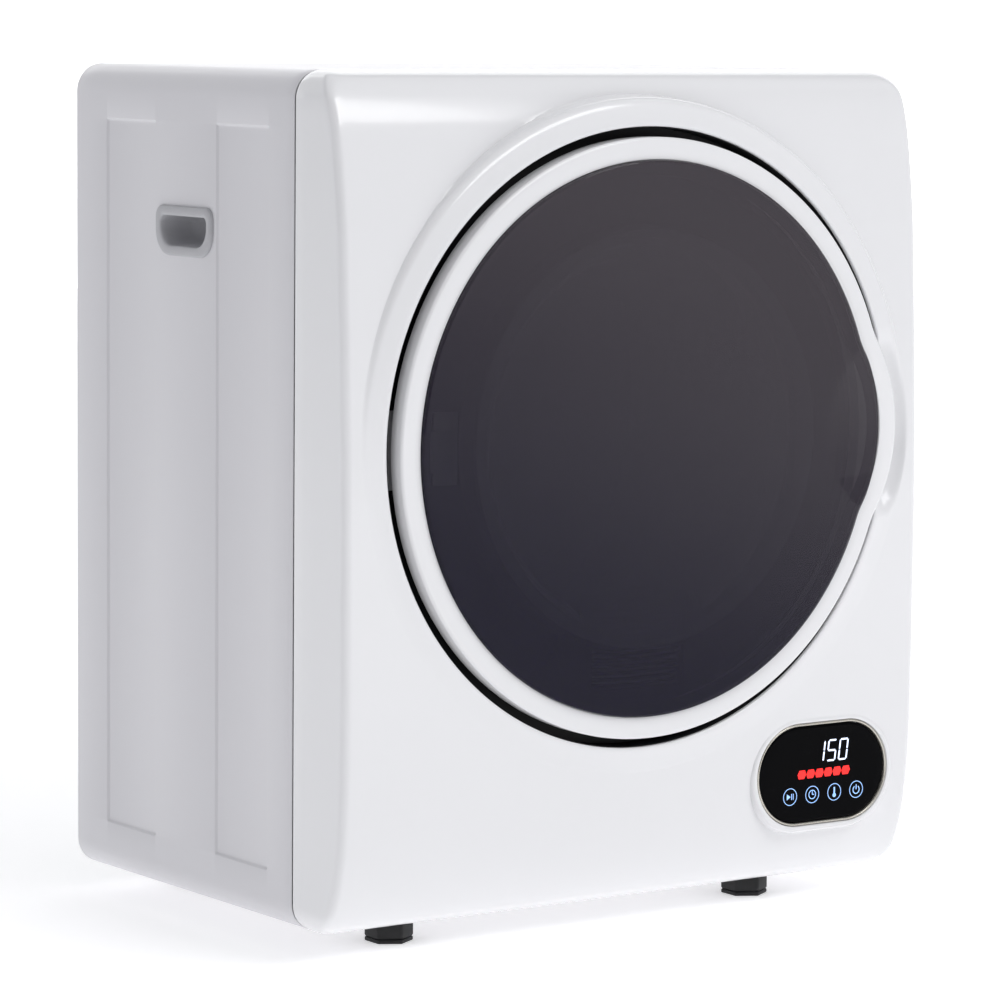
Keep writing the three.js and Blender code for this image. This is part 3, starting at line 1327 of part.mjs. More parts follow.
// The blower's outside, or its inside when drawn in by the wall.
function blowerSpace(inset) {
  const y = [Y_BLOWER + inset, Y_BLOWER + BLOWER_DEPTH - inset];
  const shrink = (range) => [range[0] + inset, range[1] - inset];
  const space = join(
    rod(BLOWER_RADIUS - inset, y[0], y[1], MOTOR_X, MOTOR_Z, COARSE),
    block([PLENUM_X[1] - inset - 1, MOTOR_X], y, shrink(CHANNEL_Z)),
    block(shrink(PLENUM_X), y, shrink(PLENUM_Z)),
  );
  return cut(space, rod(DRUM_RADIUS + DRUM_ROOM + inset, y[0] - 1, y[1] + 1, 0, Z_AXIS));
}

function blowerHousing() {
  const y1 = Y_BLOWER + BLOWER_DEPTH;
  return cut(
    blowerSpace(0),
    blowerSpace(DUCT_WALL),
    rod(BLOWER_EYE, Y_BLOWER - 1, Y_BLOWER + 4, MOTOR_X, MOTOR_Z, COARSE),
    rod(MOTOR_SHAFT_RADIUS + 1, y1 - 4, y1 + 1, MOTOR_X, MOTOR_Z, 24),
    rod(DUCT_RADIUS - DUCT_WALL, y1 - 4, y1 + 1, DUCT_X, DUCT_Z, COARSE),
  );
}

function blowerImpeller() {
  const y0 = Y_BLOWER + 6;
  const y1 = y0 + IMPELLER_WIDTH;
  const disc = rod(IMPELLER_RADIUS, y1 - 2, y1, MOTOR_X, MOTOR_Z, 24);
  const hub = rod(12, y0, y1, MOTOR_X, MOTOR_Z, 24);
  const blades = [];
  for (let i = 0; i < IMPELLER_BLADES; i += 1) {
    const blade = new THREE.BoxGeometry(2, IMPELLER_WIDTH, IMPELLER_RADIUS - 10)
      .translate(0, (y0 + y1) / 2, (IMPELLER_RADIUS + 8) / 2)
      .rotateY((2 * Math.PI * i) / IMPELLER_BLADES)
      .translate(MOTOR_X, 0, MOTOR_Z);
    blades.push(blade);
  }
  const bore = rod(MOTOR_SHAFT_RADIUS + CLEARANCE, y0 - 1, y1 + 1, MOTOR_X, MOTOR_Z, 24);
  return cut(join(disc, hub, ...blades), bore);
}

function exhaustDuct() {
  const y = [Y_BLOWER + BLOWER_DEPTH + CLEARANCE, Y_REAR - CLEARANCE];
  return pipe(DUCT_RADIUS, DUCT_RADIUS - DUCT_WALL, y[0], y[1], DUCT_X, DUCT_Z, COARSE);
}

function exhaustCollar() {
  const inner = EXHAUST_RADIUS - EXHAUST_WALL;
  const flange = EXHAUST_RADIUS + EXHAUST_FLANGE;
  const y = Y_REAR + CLEARANCE;
  return turned([
    [inner, y],
    [flange, y],
    [flange, y + 2],
    [EXHAUST_RADIUS, y + 2],
    [EXHAUST_RADIUS, Y_EXHAUST],
    [inner, Y_EXHAUST],
  ], DUCT_X, DUCT_Z, COARSE);
}

// The duct's outside, or its inside when drawn in by the wall: a low box in front of the blower,
// a riser, and a mouth that reaches forward to the throat's air port.
function lintDuctSpace(inset) {
  const back = Y_LINT_DUCT;
  const half = LINT_DUCT_HALF_WIDTH;
  const width = [-half + inset, half - inset];
  const depth = [back - LINT_DUCT_DEPTH + inset, back - inset];
  const mouthDepth = [Y_THROAT + THROAT_WALL + CLEARANCE + inset, back - inset];
  const lowTop = MOTOR_Z + BLOWER_RADIUS;
  const mouth = Z_AXIS - AIR_PORT_TOP;
  const low = [MOTOR_Z - BLOWER_RADIUS + 4 + inset, lowTop - inset];
  const space = join(
    block([-half + inset, MOTOR_X + 40 - inset], depth, low),
    block(width, depth, [lowTop - 14, mouth + 8]),
    block(width, mouthDepth, [mouth - 2 + inset, mouth + AIR_PORT_HEIGHT + 4 - inset]),
  );
  return cut(space, throatRoom(inset));
}

function lintDuct() {
  const back = Y_LINT_DUCT;
  const half = LINT_DUCT_HALF_WIDTH - 2 * DUCT_WALL;
  const mouthFront = Y_THROAT + THROAT_WALL;
  const mouth = Z_AXIS - AIR_PORT_TOP;
  const snoutY = [back - 1, Y_FRONT_BULKHEAD - CLEARANCE];
  const snout = pipe(BLOWER_EYE + 2, BLOWER_EYE, snoutY[0], snoutY[1], MOTOR_X, MOTOR_Z, COARSE);
  const shell = cut(
    lintDuctSpace(0),
    lintDuctSpace(DUCT_WALL),
    block([-half, half], [mouthFront, mouthFront + 5], [mouth + 1, mouth + AIR_PORT_HEIGHT]),
    rod(BLOWER_EYE, back - 5, back + 1, MOTOR_X, MOTOR_Z, COARSE),
  );
  return join(shell, snout);
}

function heaterCase() {
  const half = HEATER_WIDTH / 2;
  return cut(
    block([-half, half], HEATER_Y, HEATER_Z),
    block([-half + 2, half - 2], [HEATER_Y[0] - 1, HEATER_Y[1] + 1], [HEATER_Z[0] + 2, HEATER_Z[1] - 2]),
  );
}

function heaterElement() {
  const half = HEATER_WIDTH / 2 - 3;
  const z = [HEATER_Z[0] + 3, HEATER_Z[1] - 3];
  const core = block([-half, half], [HEATER_Y[0] + 10, HEATER_Y[0] + 24], z);
  const slots = [];
  for (let i = 0; i < HEATER_BARS; i += 1) {
    const x = -half + 6 + (i + 0.5) * ((2 * half - 12) / HEATER_BARS);
    slots.push(block([x - 5, x + 5], [HEATER_Y[0] + 9, HEATER_Y[0] + 25], [z[0] + 8, z[1] - 8]));
  }
  return cut(core, ...slots);
}

function thermostat() {
  const y = (HEATER_Y[0] + HEATER_Y[1]) / 2;
  const z = HEATER_Z[1] + CLEARANCE;
  return join(
    uprightRod(8, z, z + 6, 40, y, 20),
    block([28, 52], [y - 3, y + 3], [z, z + 1.5]),
  );
}

function airPath() {
  return gather(
    piece('blower_housing', blowerHousing(), greyPlastic),
    piece('blower_impeller', blowerImpeller(), whitePlastic),
    piece('exhaust_duct', exhaustDuct(), zincSteel),
    piece('exhaust_collar', exhaustCollar(), darkPlastic),
    piece('lint_duct', lintDuct(), greyPlastic),
    piece('heater_case', heaterCase(), zincSteel),
    piece('heater_element', heaterElement(), copperRed),
    piece('thermostat', thermostat(), castAluminium),
  );
}

const dryer = gather(cabinet(), front(), controls(), door(), drum(), drive(), airPath());
dryer.name = 'clothes_dryer';

export default dryer;
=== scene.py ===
import bisect
import json
import math

import bmesh
import bpy
from bpy.props import FloatProperty, FloatVectorProperty, PointerProperty
from mathutils import Matrix, Vector
from mathutils.geometry import interpolate_bezier


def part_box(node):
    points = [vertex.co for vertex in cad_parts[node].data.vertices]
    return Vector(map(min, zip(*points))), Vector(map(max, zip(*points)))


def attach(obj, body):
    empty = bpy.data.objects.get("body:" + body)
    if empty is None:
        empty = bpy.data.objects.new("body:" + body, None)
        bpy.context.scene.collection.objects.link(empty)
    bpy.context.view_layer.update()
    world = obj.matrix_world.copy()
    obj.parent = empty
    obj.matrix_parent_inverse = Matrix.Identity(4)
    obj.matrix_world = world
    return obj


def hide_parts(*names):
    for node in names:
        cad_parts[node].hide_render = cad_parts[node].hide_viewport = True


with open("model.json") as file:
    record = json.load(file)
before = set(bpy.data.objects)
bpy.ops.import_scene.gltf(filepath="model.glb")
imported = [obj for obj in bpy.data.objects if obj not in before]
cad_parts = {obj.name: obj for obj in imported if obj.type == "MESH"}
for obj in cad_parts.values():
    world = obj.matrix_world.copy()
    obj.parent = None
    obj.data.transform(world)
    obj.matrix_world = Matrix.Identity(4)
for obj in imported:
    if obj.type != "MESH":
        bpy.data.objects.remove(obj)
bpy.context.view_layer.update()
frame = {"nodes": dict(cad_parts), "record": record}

bl_info = {
    "name": "Compact clothes dryer",
    "version": (1, 0, 0),
    "blender": (4, 5, 0),
    "location": "View3D > Sidebar > Dryer",
    "description": "Builds the finished surfaces of a compact vented clothes dryer",
    "category": "Object",
}

MM = 0.001

# ---- Places taken from the machine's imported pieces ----

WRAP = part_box("cabinet_wrap")
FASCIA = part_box("front_fascia")
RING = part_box("door_ring")
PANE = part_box("door_pane")
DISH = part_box("door_inner_dish")
BACK_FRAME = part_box("door_back_frame")
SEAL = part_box("door_seal")
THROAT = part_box("drum_throat")
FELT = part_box("felt_seal")
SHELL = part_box("drum_shell")
DRUM_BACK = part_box("drum_back")
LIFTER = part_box("drum_lifter_1")
LINT_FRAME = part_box("lint_frame")
LINT_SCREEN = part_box("lint_screen")
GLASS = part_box("control_glass")
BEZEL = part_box("control_bezel")
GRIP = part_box("side_grip_right")
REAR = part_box("rear_panel")
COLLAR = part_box("exhaust_collar")
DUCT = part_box("exhaust_duct")
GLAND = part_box("cord_gland")
HINGE_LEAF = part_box("hinge_leaf")

HALF_WIDTH = WRAP[1].x
Z_BOTTOM = WRAP[0].z
Z_TOP = WRAP[1].z
Y_SEAM = WRAP[0].y
Y_REAR = WRAP[1].y
Y_FASCIA = FASCIA[0].y
Y_FASCIA_REAR = FASCIA[1].y
Z_AXIS = (PANE[0].z + PANE[1].z) / 2
PANE_RADIUS = (PANE[1].z - PANE[0].z) / 2
RING_RADIUS = (RING[1].z - RING[0].z) / 2
BULGE = PANE[1].x - PANE_RADIUS
BULGE_ARC = 100 * MM
RECESS_RADIUS = RING_RADIUS + 7 * MM
AXIS = (0.0, Z_AXIS)
CONTROL_CENTRE = ((GLASS[0].x + GLASS[1].x) / 2, (GLASS[0].z + GLASS[1].z) / 2)
CONTROL_SIZE = (GLASS[1].x - GLASS[0].x, GLASS[1].z - GLASS[0].z)


# ---- Sizes and colours that can be changed ----


def linear(code):
    """An sRGB hex colour as the linear values that shaders take."""
    values = [int(code[i:i + 2], 16) / 255 for i in (1, 3, 5)]
    return [v / 12.92 if v <= 0.04045 else ((v + 0.055) / 1.055) ** 2.4 for v in values] + [1.0]


def length(name, text, default):
    return FloatProperty(name=name, description=text, default=default, min=0, unit="LENGTH")


def colour(name, text, code):
    return FloatVectorProperty(
        name=name, description=text, default=linear(code), size=4, min=0, max=1, subtype="COLOR"
    )


class DryerSizes(bpy.types.PropertyGroup):
    corner: length("Cabinet corner", "Radius of the cabinet's four long corners", 20 * MM)
    front_edge: length("Front edge", "Rounding of the front moulding's outer edge", 6 * MM)
    lip: length("Door lip", "Height of the lip round the door recess over the front", 1.7 * MM)
    pressing: length("Pressing depth", "Depth of the panels pressed into the sides", 1.5 * MM)
    ring_edge: length("Ring edge", "Rounding of the door ring's outer edge", 2.2 * MM)
    scoop_radius: length("Scoop radius", "Radius of the thumb scoop's round edge", 68 * MM)
    scoop_depth: length("Scoop depth", "Depth of the thumb scoop in the pane", 4.5 * MM)
    scoop_inset: length("Scoop inset", "Distance of the scoop's far edge from the grip", 50 * MM)
    camera_lens: length("Lens", "Focal length for a 36 mm wide sensor", 160.1 * MM)


class DryerColours(bpy.types.PropertyGroup):
    enamel: colour("Enamel", "Cabinet enamel", "#dddce0")
    front: colour("Front", "Glossy front moulding", "#f0f0f2")
    # The two pane colours paint a reflection: lighter near the top, darker near the foot.
    pane_top_painted_reflection: colour("Pane top", "Smoked pane near its top", "#4e494f")
    pane_foot_painted_shade: colour("Pane foot", "Smoked pane near its foot", "#120e28")
    trim: colour("Trim", "Silver trim round the controls", "#c9c5bb")
    grip: colour("Grip", "Side grip plastic", "#b9b9bd")
    foot: colour("Foot", "Levelling feet", "#141416")
    digits: colour("Digits", "Lit digits", "#dfeaff")
    bar: colour("Bar", "Lit heat bar", "#ff1f1c")
    symbols: colour("Symbols", "Lit symbols", "#9fc8ff")
    floor: colour("Floor", "Studio floor", "#f6f6f7")


# ---- Mesh helpers ----


def loft(rings, cap_first=False, cap_last=False):
    """One edge loop extruded from ring to ring of points."""
    mesh = bmesh.new()
    first = bmesh.ops.create_circle(mesh, cap_ends=False, segments=len(rings[0]), radius=1.0)
    loop = first["verts"]
    for vertex, point in zip(loop, rings[0]):
        vertex.co = point
    first_loop = list(loop)
    edges = mesh.edges[:]
    for ring in rings[1:]:
        made = bmesh.ops.extrude_edge_only(mesh, edges=edges)["geom"]
        fresh = {item for item in made if isinstance(item, bmesh.types.BMVert)}
        loop = [
            next(e.other_vert(v) for e in v.link_edges if e.other_vert(v) in fresh) for v in loop
        ]
        for vertex, point in zip(loop, ring):
            vertex.co = point
        edges = [
            item for item in made
            if isinstance(item, bmesh.types.BMEdge) and all(v in fresh for v in item.verts)
        ]
    if cap_first:
        bmesh.ops.contextual_create(mesh, geom=first_loop)
    if cap_last:
        bmesh.ops.contextual_create(mesh, geom=loop)
    bmesh.ops.recalc_face_normals(mesh, faces=mesh.faces)
    return mesh


def turned(profile, centre=AXIS, steps=160, closed=True):
    """A profile of radius and depth spun about an axis along Y."""
    mesh = bmesh.new()
    verts = [mesh.verts.new((centre[0] + r, y, centre[1])) for r, y in profile]
    pairs = list(zip(verts, verts[1:]))
    if closed:
        pairs.append((verts[-1], verts[0]))
    edges = [mesh.edges.new(pair) for pair in pairs]
    bmesh.ops.spin(
        mesh,
        geom=verts + edges,
        cent=(centre[0], 0, centre[1]),
        axis=(0, 1, 0),
        dvec=(0, 0, 0),
        angle=math.tau,
        steps=steps,
        use_merge=True,
    )
    bmesh.ops.remove_doubles(mesh, verts=mesh.verts, dist=1e-6)
    bmesh.ops.recalc_face_normals(mesh, faces=mesh.faces)
    return mesh


def box_mesh(low, high):
    mesh = bmesh.new()
    bmesh.ops.create_cube(mesh, size=1.0)
    size = [b - a for a, b in zip(low, high)]
    middle = [(a + b) / 2 for a, b in zip(low, high)]
    bmesh.ops.scale(mesh, vec=size, verts=mesh.verts)
    bmesh.ops.translate(mesh, vec=middle, verts=mesh.verts)
    return mesh


def rod_mesh(radius, y0, y1, centre, sides=48):
    """A round bar along Y."""
    mesh = bmesh.new()
    turn = Matrix.Rotation(math.pi / 2, 4, "X")
    place = Matrix.Translation((centre[0], (y0 + y1) / 2, centre[1]))
    bmesh.ops.create_cone(
        mesh, cap_ends=True, segments=sides, radius1=radius, radius2=radius,
        depth=y1 - y0, matrix=place @ turn,
    )
    return mesh


def soften(mesh, width, segments=2, angle=30):
    """Rounds every edge that is sharper than the angle."""
    limit = math.radians(angle)
    sharp = [e for e in mesh.edges if len(e.link_faces) == 2 and e.calc_face_angle(0) > limit]
    bmesh.ops.bevel(
        mesh, geom=sharp, offset=width, offset_type="OFFSET", segments=segments,
        profile=0.5, affect="EDGES", material=-1, clamp_overlap=True,
    )
    return mesh


def gather(meshes):
    """Several meshes as one."""
    whole = bmesh.new()
    for mesh in meshes:
        data = bpy.data.meshes.new("part")
        mesh.to_mesh(data)
        mesh.free()
        whole.from_mesh(data)
        bpy.data.meshes.remove(data)
    return whole


def loose_object(mesh, name):
    data = bpy.data.meshes.new(name)
    mesh.to_mesh(data)
    mesh.free()
    piece = bpy.data.objects.new(name, data)
    bpy.context.scene.collection.objects.link(piece)
    return piece


def finished_mesh(piece):
    """The mesh of a loose object with its modifiers applied, and the object removed."""
    depsgraph = bpy.context.evaluated_depsgraph_get()
    depsgraph.update()
    data = bpy.data.meshes.new_from_object(piece.evaluated_get(depsgraph))
    mesh = bmesh.new()
    mesh.from_mesh(data)
    bpy.data.meshes.remove(data)
    bpy.data.objects.remove(piece)
    return mesh


def cut_away(mesh, tools):
    """A mesh with others cut out of it."""
    piece = loose_object(mesh, "cutting")
    cutters = [loose_object(tool, "cutter") for tool in tools]
    for cutter in cutters:
        modifier = piece.modifiers.new("cut", "BOOLEAN")
        modifier.operation = "DIFFERENCE"
        modifier.solver = "EXACT"
        modifier.object = cutter
    mesh = finished_mesh(piece)
    for cutter in cutters:
        bpy.data.objects.remove(cutter)
    return mesh


def walled(mesh, thickness):
    """A skin given a wall on its inner side."""
    piece = loose_object(mesh, "skin")
    modifier = piece.modifiers.new("wall", "SOLIDIFY")
    modifier.thickness = thickness
    modifier.offset = -1
    return finished_mesh(piece)


def make_piece(mesh, name, body, material, nodes=(), crease=35):
    """Finishes a mesh as a shown piece that moves with a body."""
    limit = math.radians(crease)
    for face in mesh.faces:
        face.smooth = True
    for edge in mesh.edges:
        edge.smooth = len(edge.link_faces) != 2 or edge.calc_face_angle(0) < limit
    data = bpy.data.meshes.new(name)
    mesh.to_mesh(data)
    mesh.free()
    data.materials.append(material)
    piece = bpy.data.objects.new(name, data)
    bpy.context.scene.collection.objects.link(piece)
    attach(piece, body)
    if nodes:
        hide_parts(*nodes)
    return piece


def middle_of(box):
    """The middle of a piece's box in X and Z."""
    return ((box[0].x + box[1].x) / 2, (box[0].z + box[1].z) / 2)


def spread(start, end, count):
    return [start + (end - start) * i / (count - 1) for i in range(count)]


def smooth_step(value, low, high):
    t = min(max((value - low) / (high - low), 0), 1)
    return t * t * (3 - 2 * t)


def smooth_max(a, b, blend):
    """The larger of two heights, with the crossing rounded over a distance."""
    h = max(blend - abs(a - b), 0) / blend
    return max(a, b) + h * h * blend / 4


# ---- Materials ----


def add_node(tree, kind, inputs=None, **settings):
    """Adds one node, with its settings and its links or values."""
    node = tree.nodes.new(kind)
    for name, value in settings.items():
        setattr(node, name, value)
    for name, value in (inputs or {}).items():
        if isinstance(value, bpy.types.NodeSocket):
            tree.links.new(value, node.inputs[name])
        else:
            node.inputs[name].default_value = value
    return node


def shader_of(name):
    """A new material, its tree and its main shader."""
    material = bpy.data.materials.new(name)
    material.use_nodes = True
    return material, material.node_tree, material.node_tree.nodes["Principled BSDF"]


def grained(name, shade, roughness, grain, relief, spread_of=0.03, metallic=0.0, rough_spread=0.04):
    """A finish with a fine grain: shade and roughness vary a little and the surface is uneven."""
    material, tree, shader = shader_of(name)
    place = add_node(tree, "ShaderNodeTexCoord")
    fine = add_node(
        tree, "ShaderNodeTexNoise",
        {"Vector": place.outputs["Object"], "Scale": 1 / grain, "Detail": 3.0, "Roughness": 0.6},
    )
    broad = add_node(
        tree, "ShaderNodeTexNoise",
        {"Vector": place.outputs["Object"], "Scale": 9.0, "Detail": 2.0},
    )
    dark = [c * (1 - spread_of) for c in shade[:3]] + [1.0]
    light = [min(c * (1 + spread_of), 1.0) for c in shade[:3]] + [1.0]
    tone = add_node(
        tree, "ShaderNodeMix", {"Factor": broad.outputs["Fac"]}, data_type="RGBA"
    )
    tone.inputs[6].default_value = dark
    tone.inputs[7].default_value = light
    rough = add_node(
        tree, "ShaderNodeMapRange",
        {"Value": fine.outputs["Fac"], "To Min": max(roughness - rough_spread, 0.02),
         "To Max": roughness + rough_spread},
    )
    bump = add_node(
        tree, "ShaderNodeBump",
        {"Height": fine.outputs["Fac"], "Strength": relief, "Distance": 0.0002},
    )
    tree.links.new(tone.outputs[2], shader.inputs["Base Color"])
    tree.links.new(rough.outputs["Result"], shader.inputs["Roughness"])
    tree.links.new(bump.outputs["Normal"], shader.inputs["Normal"])
    shader.inputs["Metallic"].default_value = metallic
    return material, shader


def sheet_enamel(shade):
    # Stove enamel sprayed on sheet steel: a satin white with the slight ripple of sprayed paint.
    material, shader = grained("sprayed enamel on steel", shade, 0.34, 2.4 * MM, 0.05, 0.012)
    shader.inputs["IOR"].default_value = 1.52
    shader.inputs["Coat Weight"].default_value = 0.25
    shader.inputs["Coat Roughness"].default_value = 0.22
    return material


def glossy_abs(shade):
    # ABS from a polished mould: a bright white that mirrors the lights in soft streaks.
    material, shader = grained("glossy moulded ABS", shade, 0.16, 6 * MM, 0.015, 0.008, 0.0, 0.02)
    shader.inputs["IOR"].default_value = 1.54
    shader.inputs["Coat Weight"].default_value = 0.3
    shader.inputs["Coat Roughness"].default_value = 0.06
    return material


def smoked_acrylic_with_painted_reflection(top, foot):
    # Smoked cast acrylic with a painted reflection: nearly black towards the lower left, warmer
    # grey towards the top, a gradient that stands in for the light the pane reflects.
    material, tree, shader = shader_of("smoked cast acrylic with painted reflection")
    place = add_node(tree, "ShaderNodeTexCoord")
    turn = add_node(
        tree, "ShaderNodeMapping",
        {"Vector": place.outputs["Object"],
         "Location": (0.0, 0.0, -Z_AXIS), "Scale": (1.0, 1.0, 1.0)},
    )
    split = add_node(tree, "ShaderNodeSeparateXYZ", {"Vector": turn.outputs["Vector"]})
    lean = add_node(
        tree, "ShaderNodeMath", {0: split.outputs["X"], 1: 0.42, 2: split.outputs["Z"]},
        operation="MULTIPLY_ADD",
    )
    # Painted reflection and shade: this ramp makes the pane lighter towards the top and darker
    # towards the lower left.
    painted_reflection_ramp = add_node(
        tree, "ShaderNodeMapRange",
        {"Value": lean.outputs[0], "From Min": -0.19, "From Max": 0.19},
        interpolation_type="SMOOTHSTEP",
    )
    tone = add_node(tree, "ShaderNodeMix", {"Factor": painted_reflection_ramp.outputs["Result"]}, data_type="RGBA")
    tone.inputs[6].default_value = foot
    tone.inputs[7].default_value = top
    tree.links.new(tone.outputs[2], shader.inputs["Base Color"])
    shader.inputs["Roughness"].default_value = 0.04
    shader.inputs["IOR"].default_value = 1.49
    shader.inputs["Specular IOR Level"].default_value = 0.26
    shader.inputs["Alpha"].default_value = 0.66
    return material


def clear_polycarbonate_with_painted_sheen():
    # Clear moulded polycarbonate: shows mostly by its bright edges, which are a painted highlight:
    # the surface turns more opaque and pale where it turns away from the view.
    material, tree, shader = shader_of("clear moulded polycarbonate with painted edge highlight")
    # Painted highlight: opacity rises from 0.22 where the dish faces the view to 0.75 at its edges.
    edge = add_node(tree, "ShaderNodeLayerWeight", {"Blend": 0.35})
    painted_edge_highlight = add_node(
        tree, "ShaderNodeMapRange",
        {"Value": edge.outputs["Facing"], "To Min": 0.22, "To Max": 0.75},
    )
    tree.links.new(painted_edge_highlight.outputs["Result"], shader.inputs["Alpha"])
    shader.inputs["Base Color"].default_value = linear("#c3c6cf")
    shader.inputs["Roughness"].default_value = 0.08
    shader.inputs["IOR"].default_value = 1.58
    return material


def black_plastic():
    # Black polypropylene with a spark-eroded grain: a dull, slightly grey black.
    return grained("grained black polypropylene", linear("#1b1b1f"), 0.5, 0.9 * MM, 0.12, 0.1)[0]


def black_print():
    # Screen-printed black behind the pane: flat and even.
    return grained("screen printed black", linear("#0c0b10"), 0.6, 2 * MM, 0.02, 0.05)[0]


def grey_plastic(shade):
    # Grey ABS with a satin mould finish: soft highlights and no gloss.
    return grained("satin moulded grey ABS", shade, 0.45, 0.8 * MM, 0.15, 0.03)[0]


def white_plastic():
    # White polypropylene: waxy, a little translucent in look, with a fine mould grain.
    material, shader = grained(
        "moulded white polypropylene", linear("#dfdfe2"), 0.42, 1.2 * MM, 0.08, 0.02
    )
    shader.inputs["Subsurface Weight"].default_value = 0.05
    shader.inputs["Subsurface Radius"].default_value = (0.002, 0.002, 0.002)
    return material


def zinc_sheet():
    # Hot-dip zinc on steel: a grey metal with the pale and dark patches of its crystals.
    material, tree, shader = shader_of("zinc coated sheet steel")
    place = add_node(tree, "ShaderNodeTexCoord")
    # The crystals are about 9 mm across.
    crystals = add_node(
        tree, "ShaderNodeTexVoronoi", {"Vector": place.outputs["Object"], "Scale": 1 / (9 * MM)}
    )
    tone = add_node(tree, "ShaderNodeMix", {"Factor": crystals.outputs["Color"]}, data_type="RGBA")
    tone.inputs[6].default_value = linear("#989c9f")
    tone.inputs[7].default_value = linear("#bcc0c2")
    rough = add_node(
        tree, "ShaderNodeMapRange",
        {"Value": crystals.outputs["Distance"], "To Min": 0.38, "To Max": 0.55},
    )
    tree.links.new(tone.outputs[2], shader.inputs["Base Color"])
    tree.links.new(rough.outputs["Result"], shader.inputs["Roughness"])
    shader.inputs["Metallic"].default_value = 0.9
    return material


def brushed_stainless():
    # Stainless steel brushed round the drum: fine bright lines along the turning direction.
    material, tree, shader = shader_of("brushed stainless steel")
    place = add_node(tree, "ShaderNodeTexCoord")
    stretch = add_node(
        tree, "ShaderNodeMapping",
        {"Vector": place.outputs["Object"], "Scale": (12.0, 900.0, 12.0)},
    )
    lines = add_node(
        tree, "ShaderNodeTexNoise",
        {"Vector": stretch.outputs["Vector"], "Scale": 1.0, "Detail": 4.0},
    )
    rough = add_node(
        tree, "ShaderNodeMapRange", {"Value": lines.outputs["Fac"], "To Min": 0.22, "To Max": 0.42}
    )
    bump = add_node(
        tree, "ShaderNodeBump",
        {"Height": lines.outputs["Fac"], "Strength": 0.08, "Distance": 0.0001},
    )
    tree.links.new(rough.outputs["Result"], shader.inputs["Roughness"])
    tree.links.new(bump.outputs["Normal"], shader.inputs["Normal"])
    shader.inputs["Base Color"].default_value = linear("#c4c5c7")
    shader.inputs["Metallic"].default_value = 1.0
    return material


def cast_aluminium():
    # Die-cast aluminium: matt grey with the grain of the die.
    return grained(
        "die cast aluminium", linear("#a6a8aa"), 0.5, 1.0 * MM, 0.2, 0.05, 0.9, 0.08
    )[0]


def silver_trim(shade):
    # Plated and lacquered trim: a pale warm metal with soft highlights.
    return grained("lacquered silver trim", shade, 0.26, 1.5 * MM, 0.02, 0.02, 0.75)[0]


def black_glass():
    # Black-backed touch glass with an anti-reflection layer: a deep, nearly even black.
    material, shader = grained(
        "black backed touch glass", linear("#050507"), 0.05, 8 * MM, 0.0, 0.05, 0.0, 0.01
    )
    shader.inputs["Specular IOR Level"].default_value = 0.04
    return material


def foot_rubber(shade):
    # Hard moulded rubber: nearly black with a dull sheen.
    return grained("hard moulded rubber", shade, 0.6, 1.1 * MM, 0.3, 0.12)[0]


def seal_rubber():
    # Extruded rubber: soft black with a powdery surface.
    return grained("extruded sealing rubber", linear("#1a1a1b"), 0.82, 1.4 * MM, 0.3, 0.1)[0]


def wool_felt():
    # Pressed wool felt: grey with short tangled fibres.
    return grained("pressed wool felt", linear("#8b897f"), 0.95, 1.6 * MM, 0.8, 0.12)[0]


def heater_lacquer():
    # Heat-proof lacquer on the heater block: dull brick red.
    return grained("heat proof lacquer", linear("#94503c"), 0.6, 1.5 * MM, 0.2, 0.1, 0.2)[0]


def solder_resist():
    # Green solder resist over a circuit board: satin green.
    return grained("green solder resist", linear("#1d5a3a"), 0.4, 2 * MM, 0.05, 0.08)[0]


def lit_mark(name, shade, strength):
    # A light guide under the glass: an even glow in its own colour.
    material, _, shader = shader_of(name)
    shader.inputs["Base Color"].default_value = shade
    shader.inputs["Emission Color"].default_value = shade
    shader.inputs["Emission Strength"].default_value = strength
    shader.inputs["Roughness"].default_value = 0.4
    return material


def finishes(colours):
    """Every finish by the name of the slot that it belongs to."""
    if "finishes" not in finishes.__dict__:
        finishes.finishes = {
            "white_enamel": sheet_enamel(colours.enamel),
            "white_gloss": glossy_abs(colours.front),
            # The smoked pane's finish paints a reflection: lighter at the top, darker at the lower
            # left.
            "smoked_pane": smoked_acrylic_with_painted_reflection(colours.pane_top_painted_reflection, colours.pane_foot_painted_shade),
            # The clear dish's finish paints a highlight on its edges.
            "clear_dish": clear_polycarbonate_with_painted_sheen(),
            "dark_plastic": black_plastic(),
            "grey_plastic": grey_plastic(colours.grip),
            "white_plastic": white_plastic(),
            "black_glass": black_glass(),
            "silver_trim": silver_trim(colours.trim),
            "zinc_steel": zinc_sheet(),
            "stainless": brushed_stainless(),
            "cast_aluminium": cast_aluminium(),
            "rubber": seal_rubber(),
            "felt": wool_felt(),
            "ceramic_heater": heater_lacquer(),
            "circuit_board": solder_resist(),
            "foot": foot_rubber(colours.foot),
            "print": black_print(),
        }
    return finishes.finishes


# ---- Outlines ----


def body_outline(inset, corner, side_heights, across=41, arc=10):
    """The cabinet's outline in X and Z, anticlockwise from the lower right corner's top."""
    half = HALF_WIDTH - inset
    low, high = Z_BOTTOM + inset, Z_TOP - inset
    r = corner - inset
    points = [(half, z) for z in side_heights]

    def corner_arc(cx, cz, start):
        return [
            (cx + r * math.cos(start + a), cz + r * math.sin(start + a))
            for a in spread(0, math.pi / 2, arc + 2)[1:-1]
        ]

    points += corner_arc(half - r, high - r, 0)
    points += [(x, high) for x in spread(half - r, -half + r, across)]
    points += corner_arc(-half + r, high - r, math.pi / 2)
    points += [(-half, z) for z in reversed(side_heights)]
    points += corner_arc(-half + r, low + r, math.pi)
    points += [(x, low) for x in spread(-half + r, half - r, across)]
    points += corner_arc(half - r, low + r, 1.5 * math.pi)
    return points


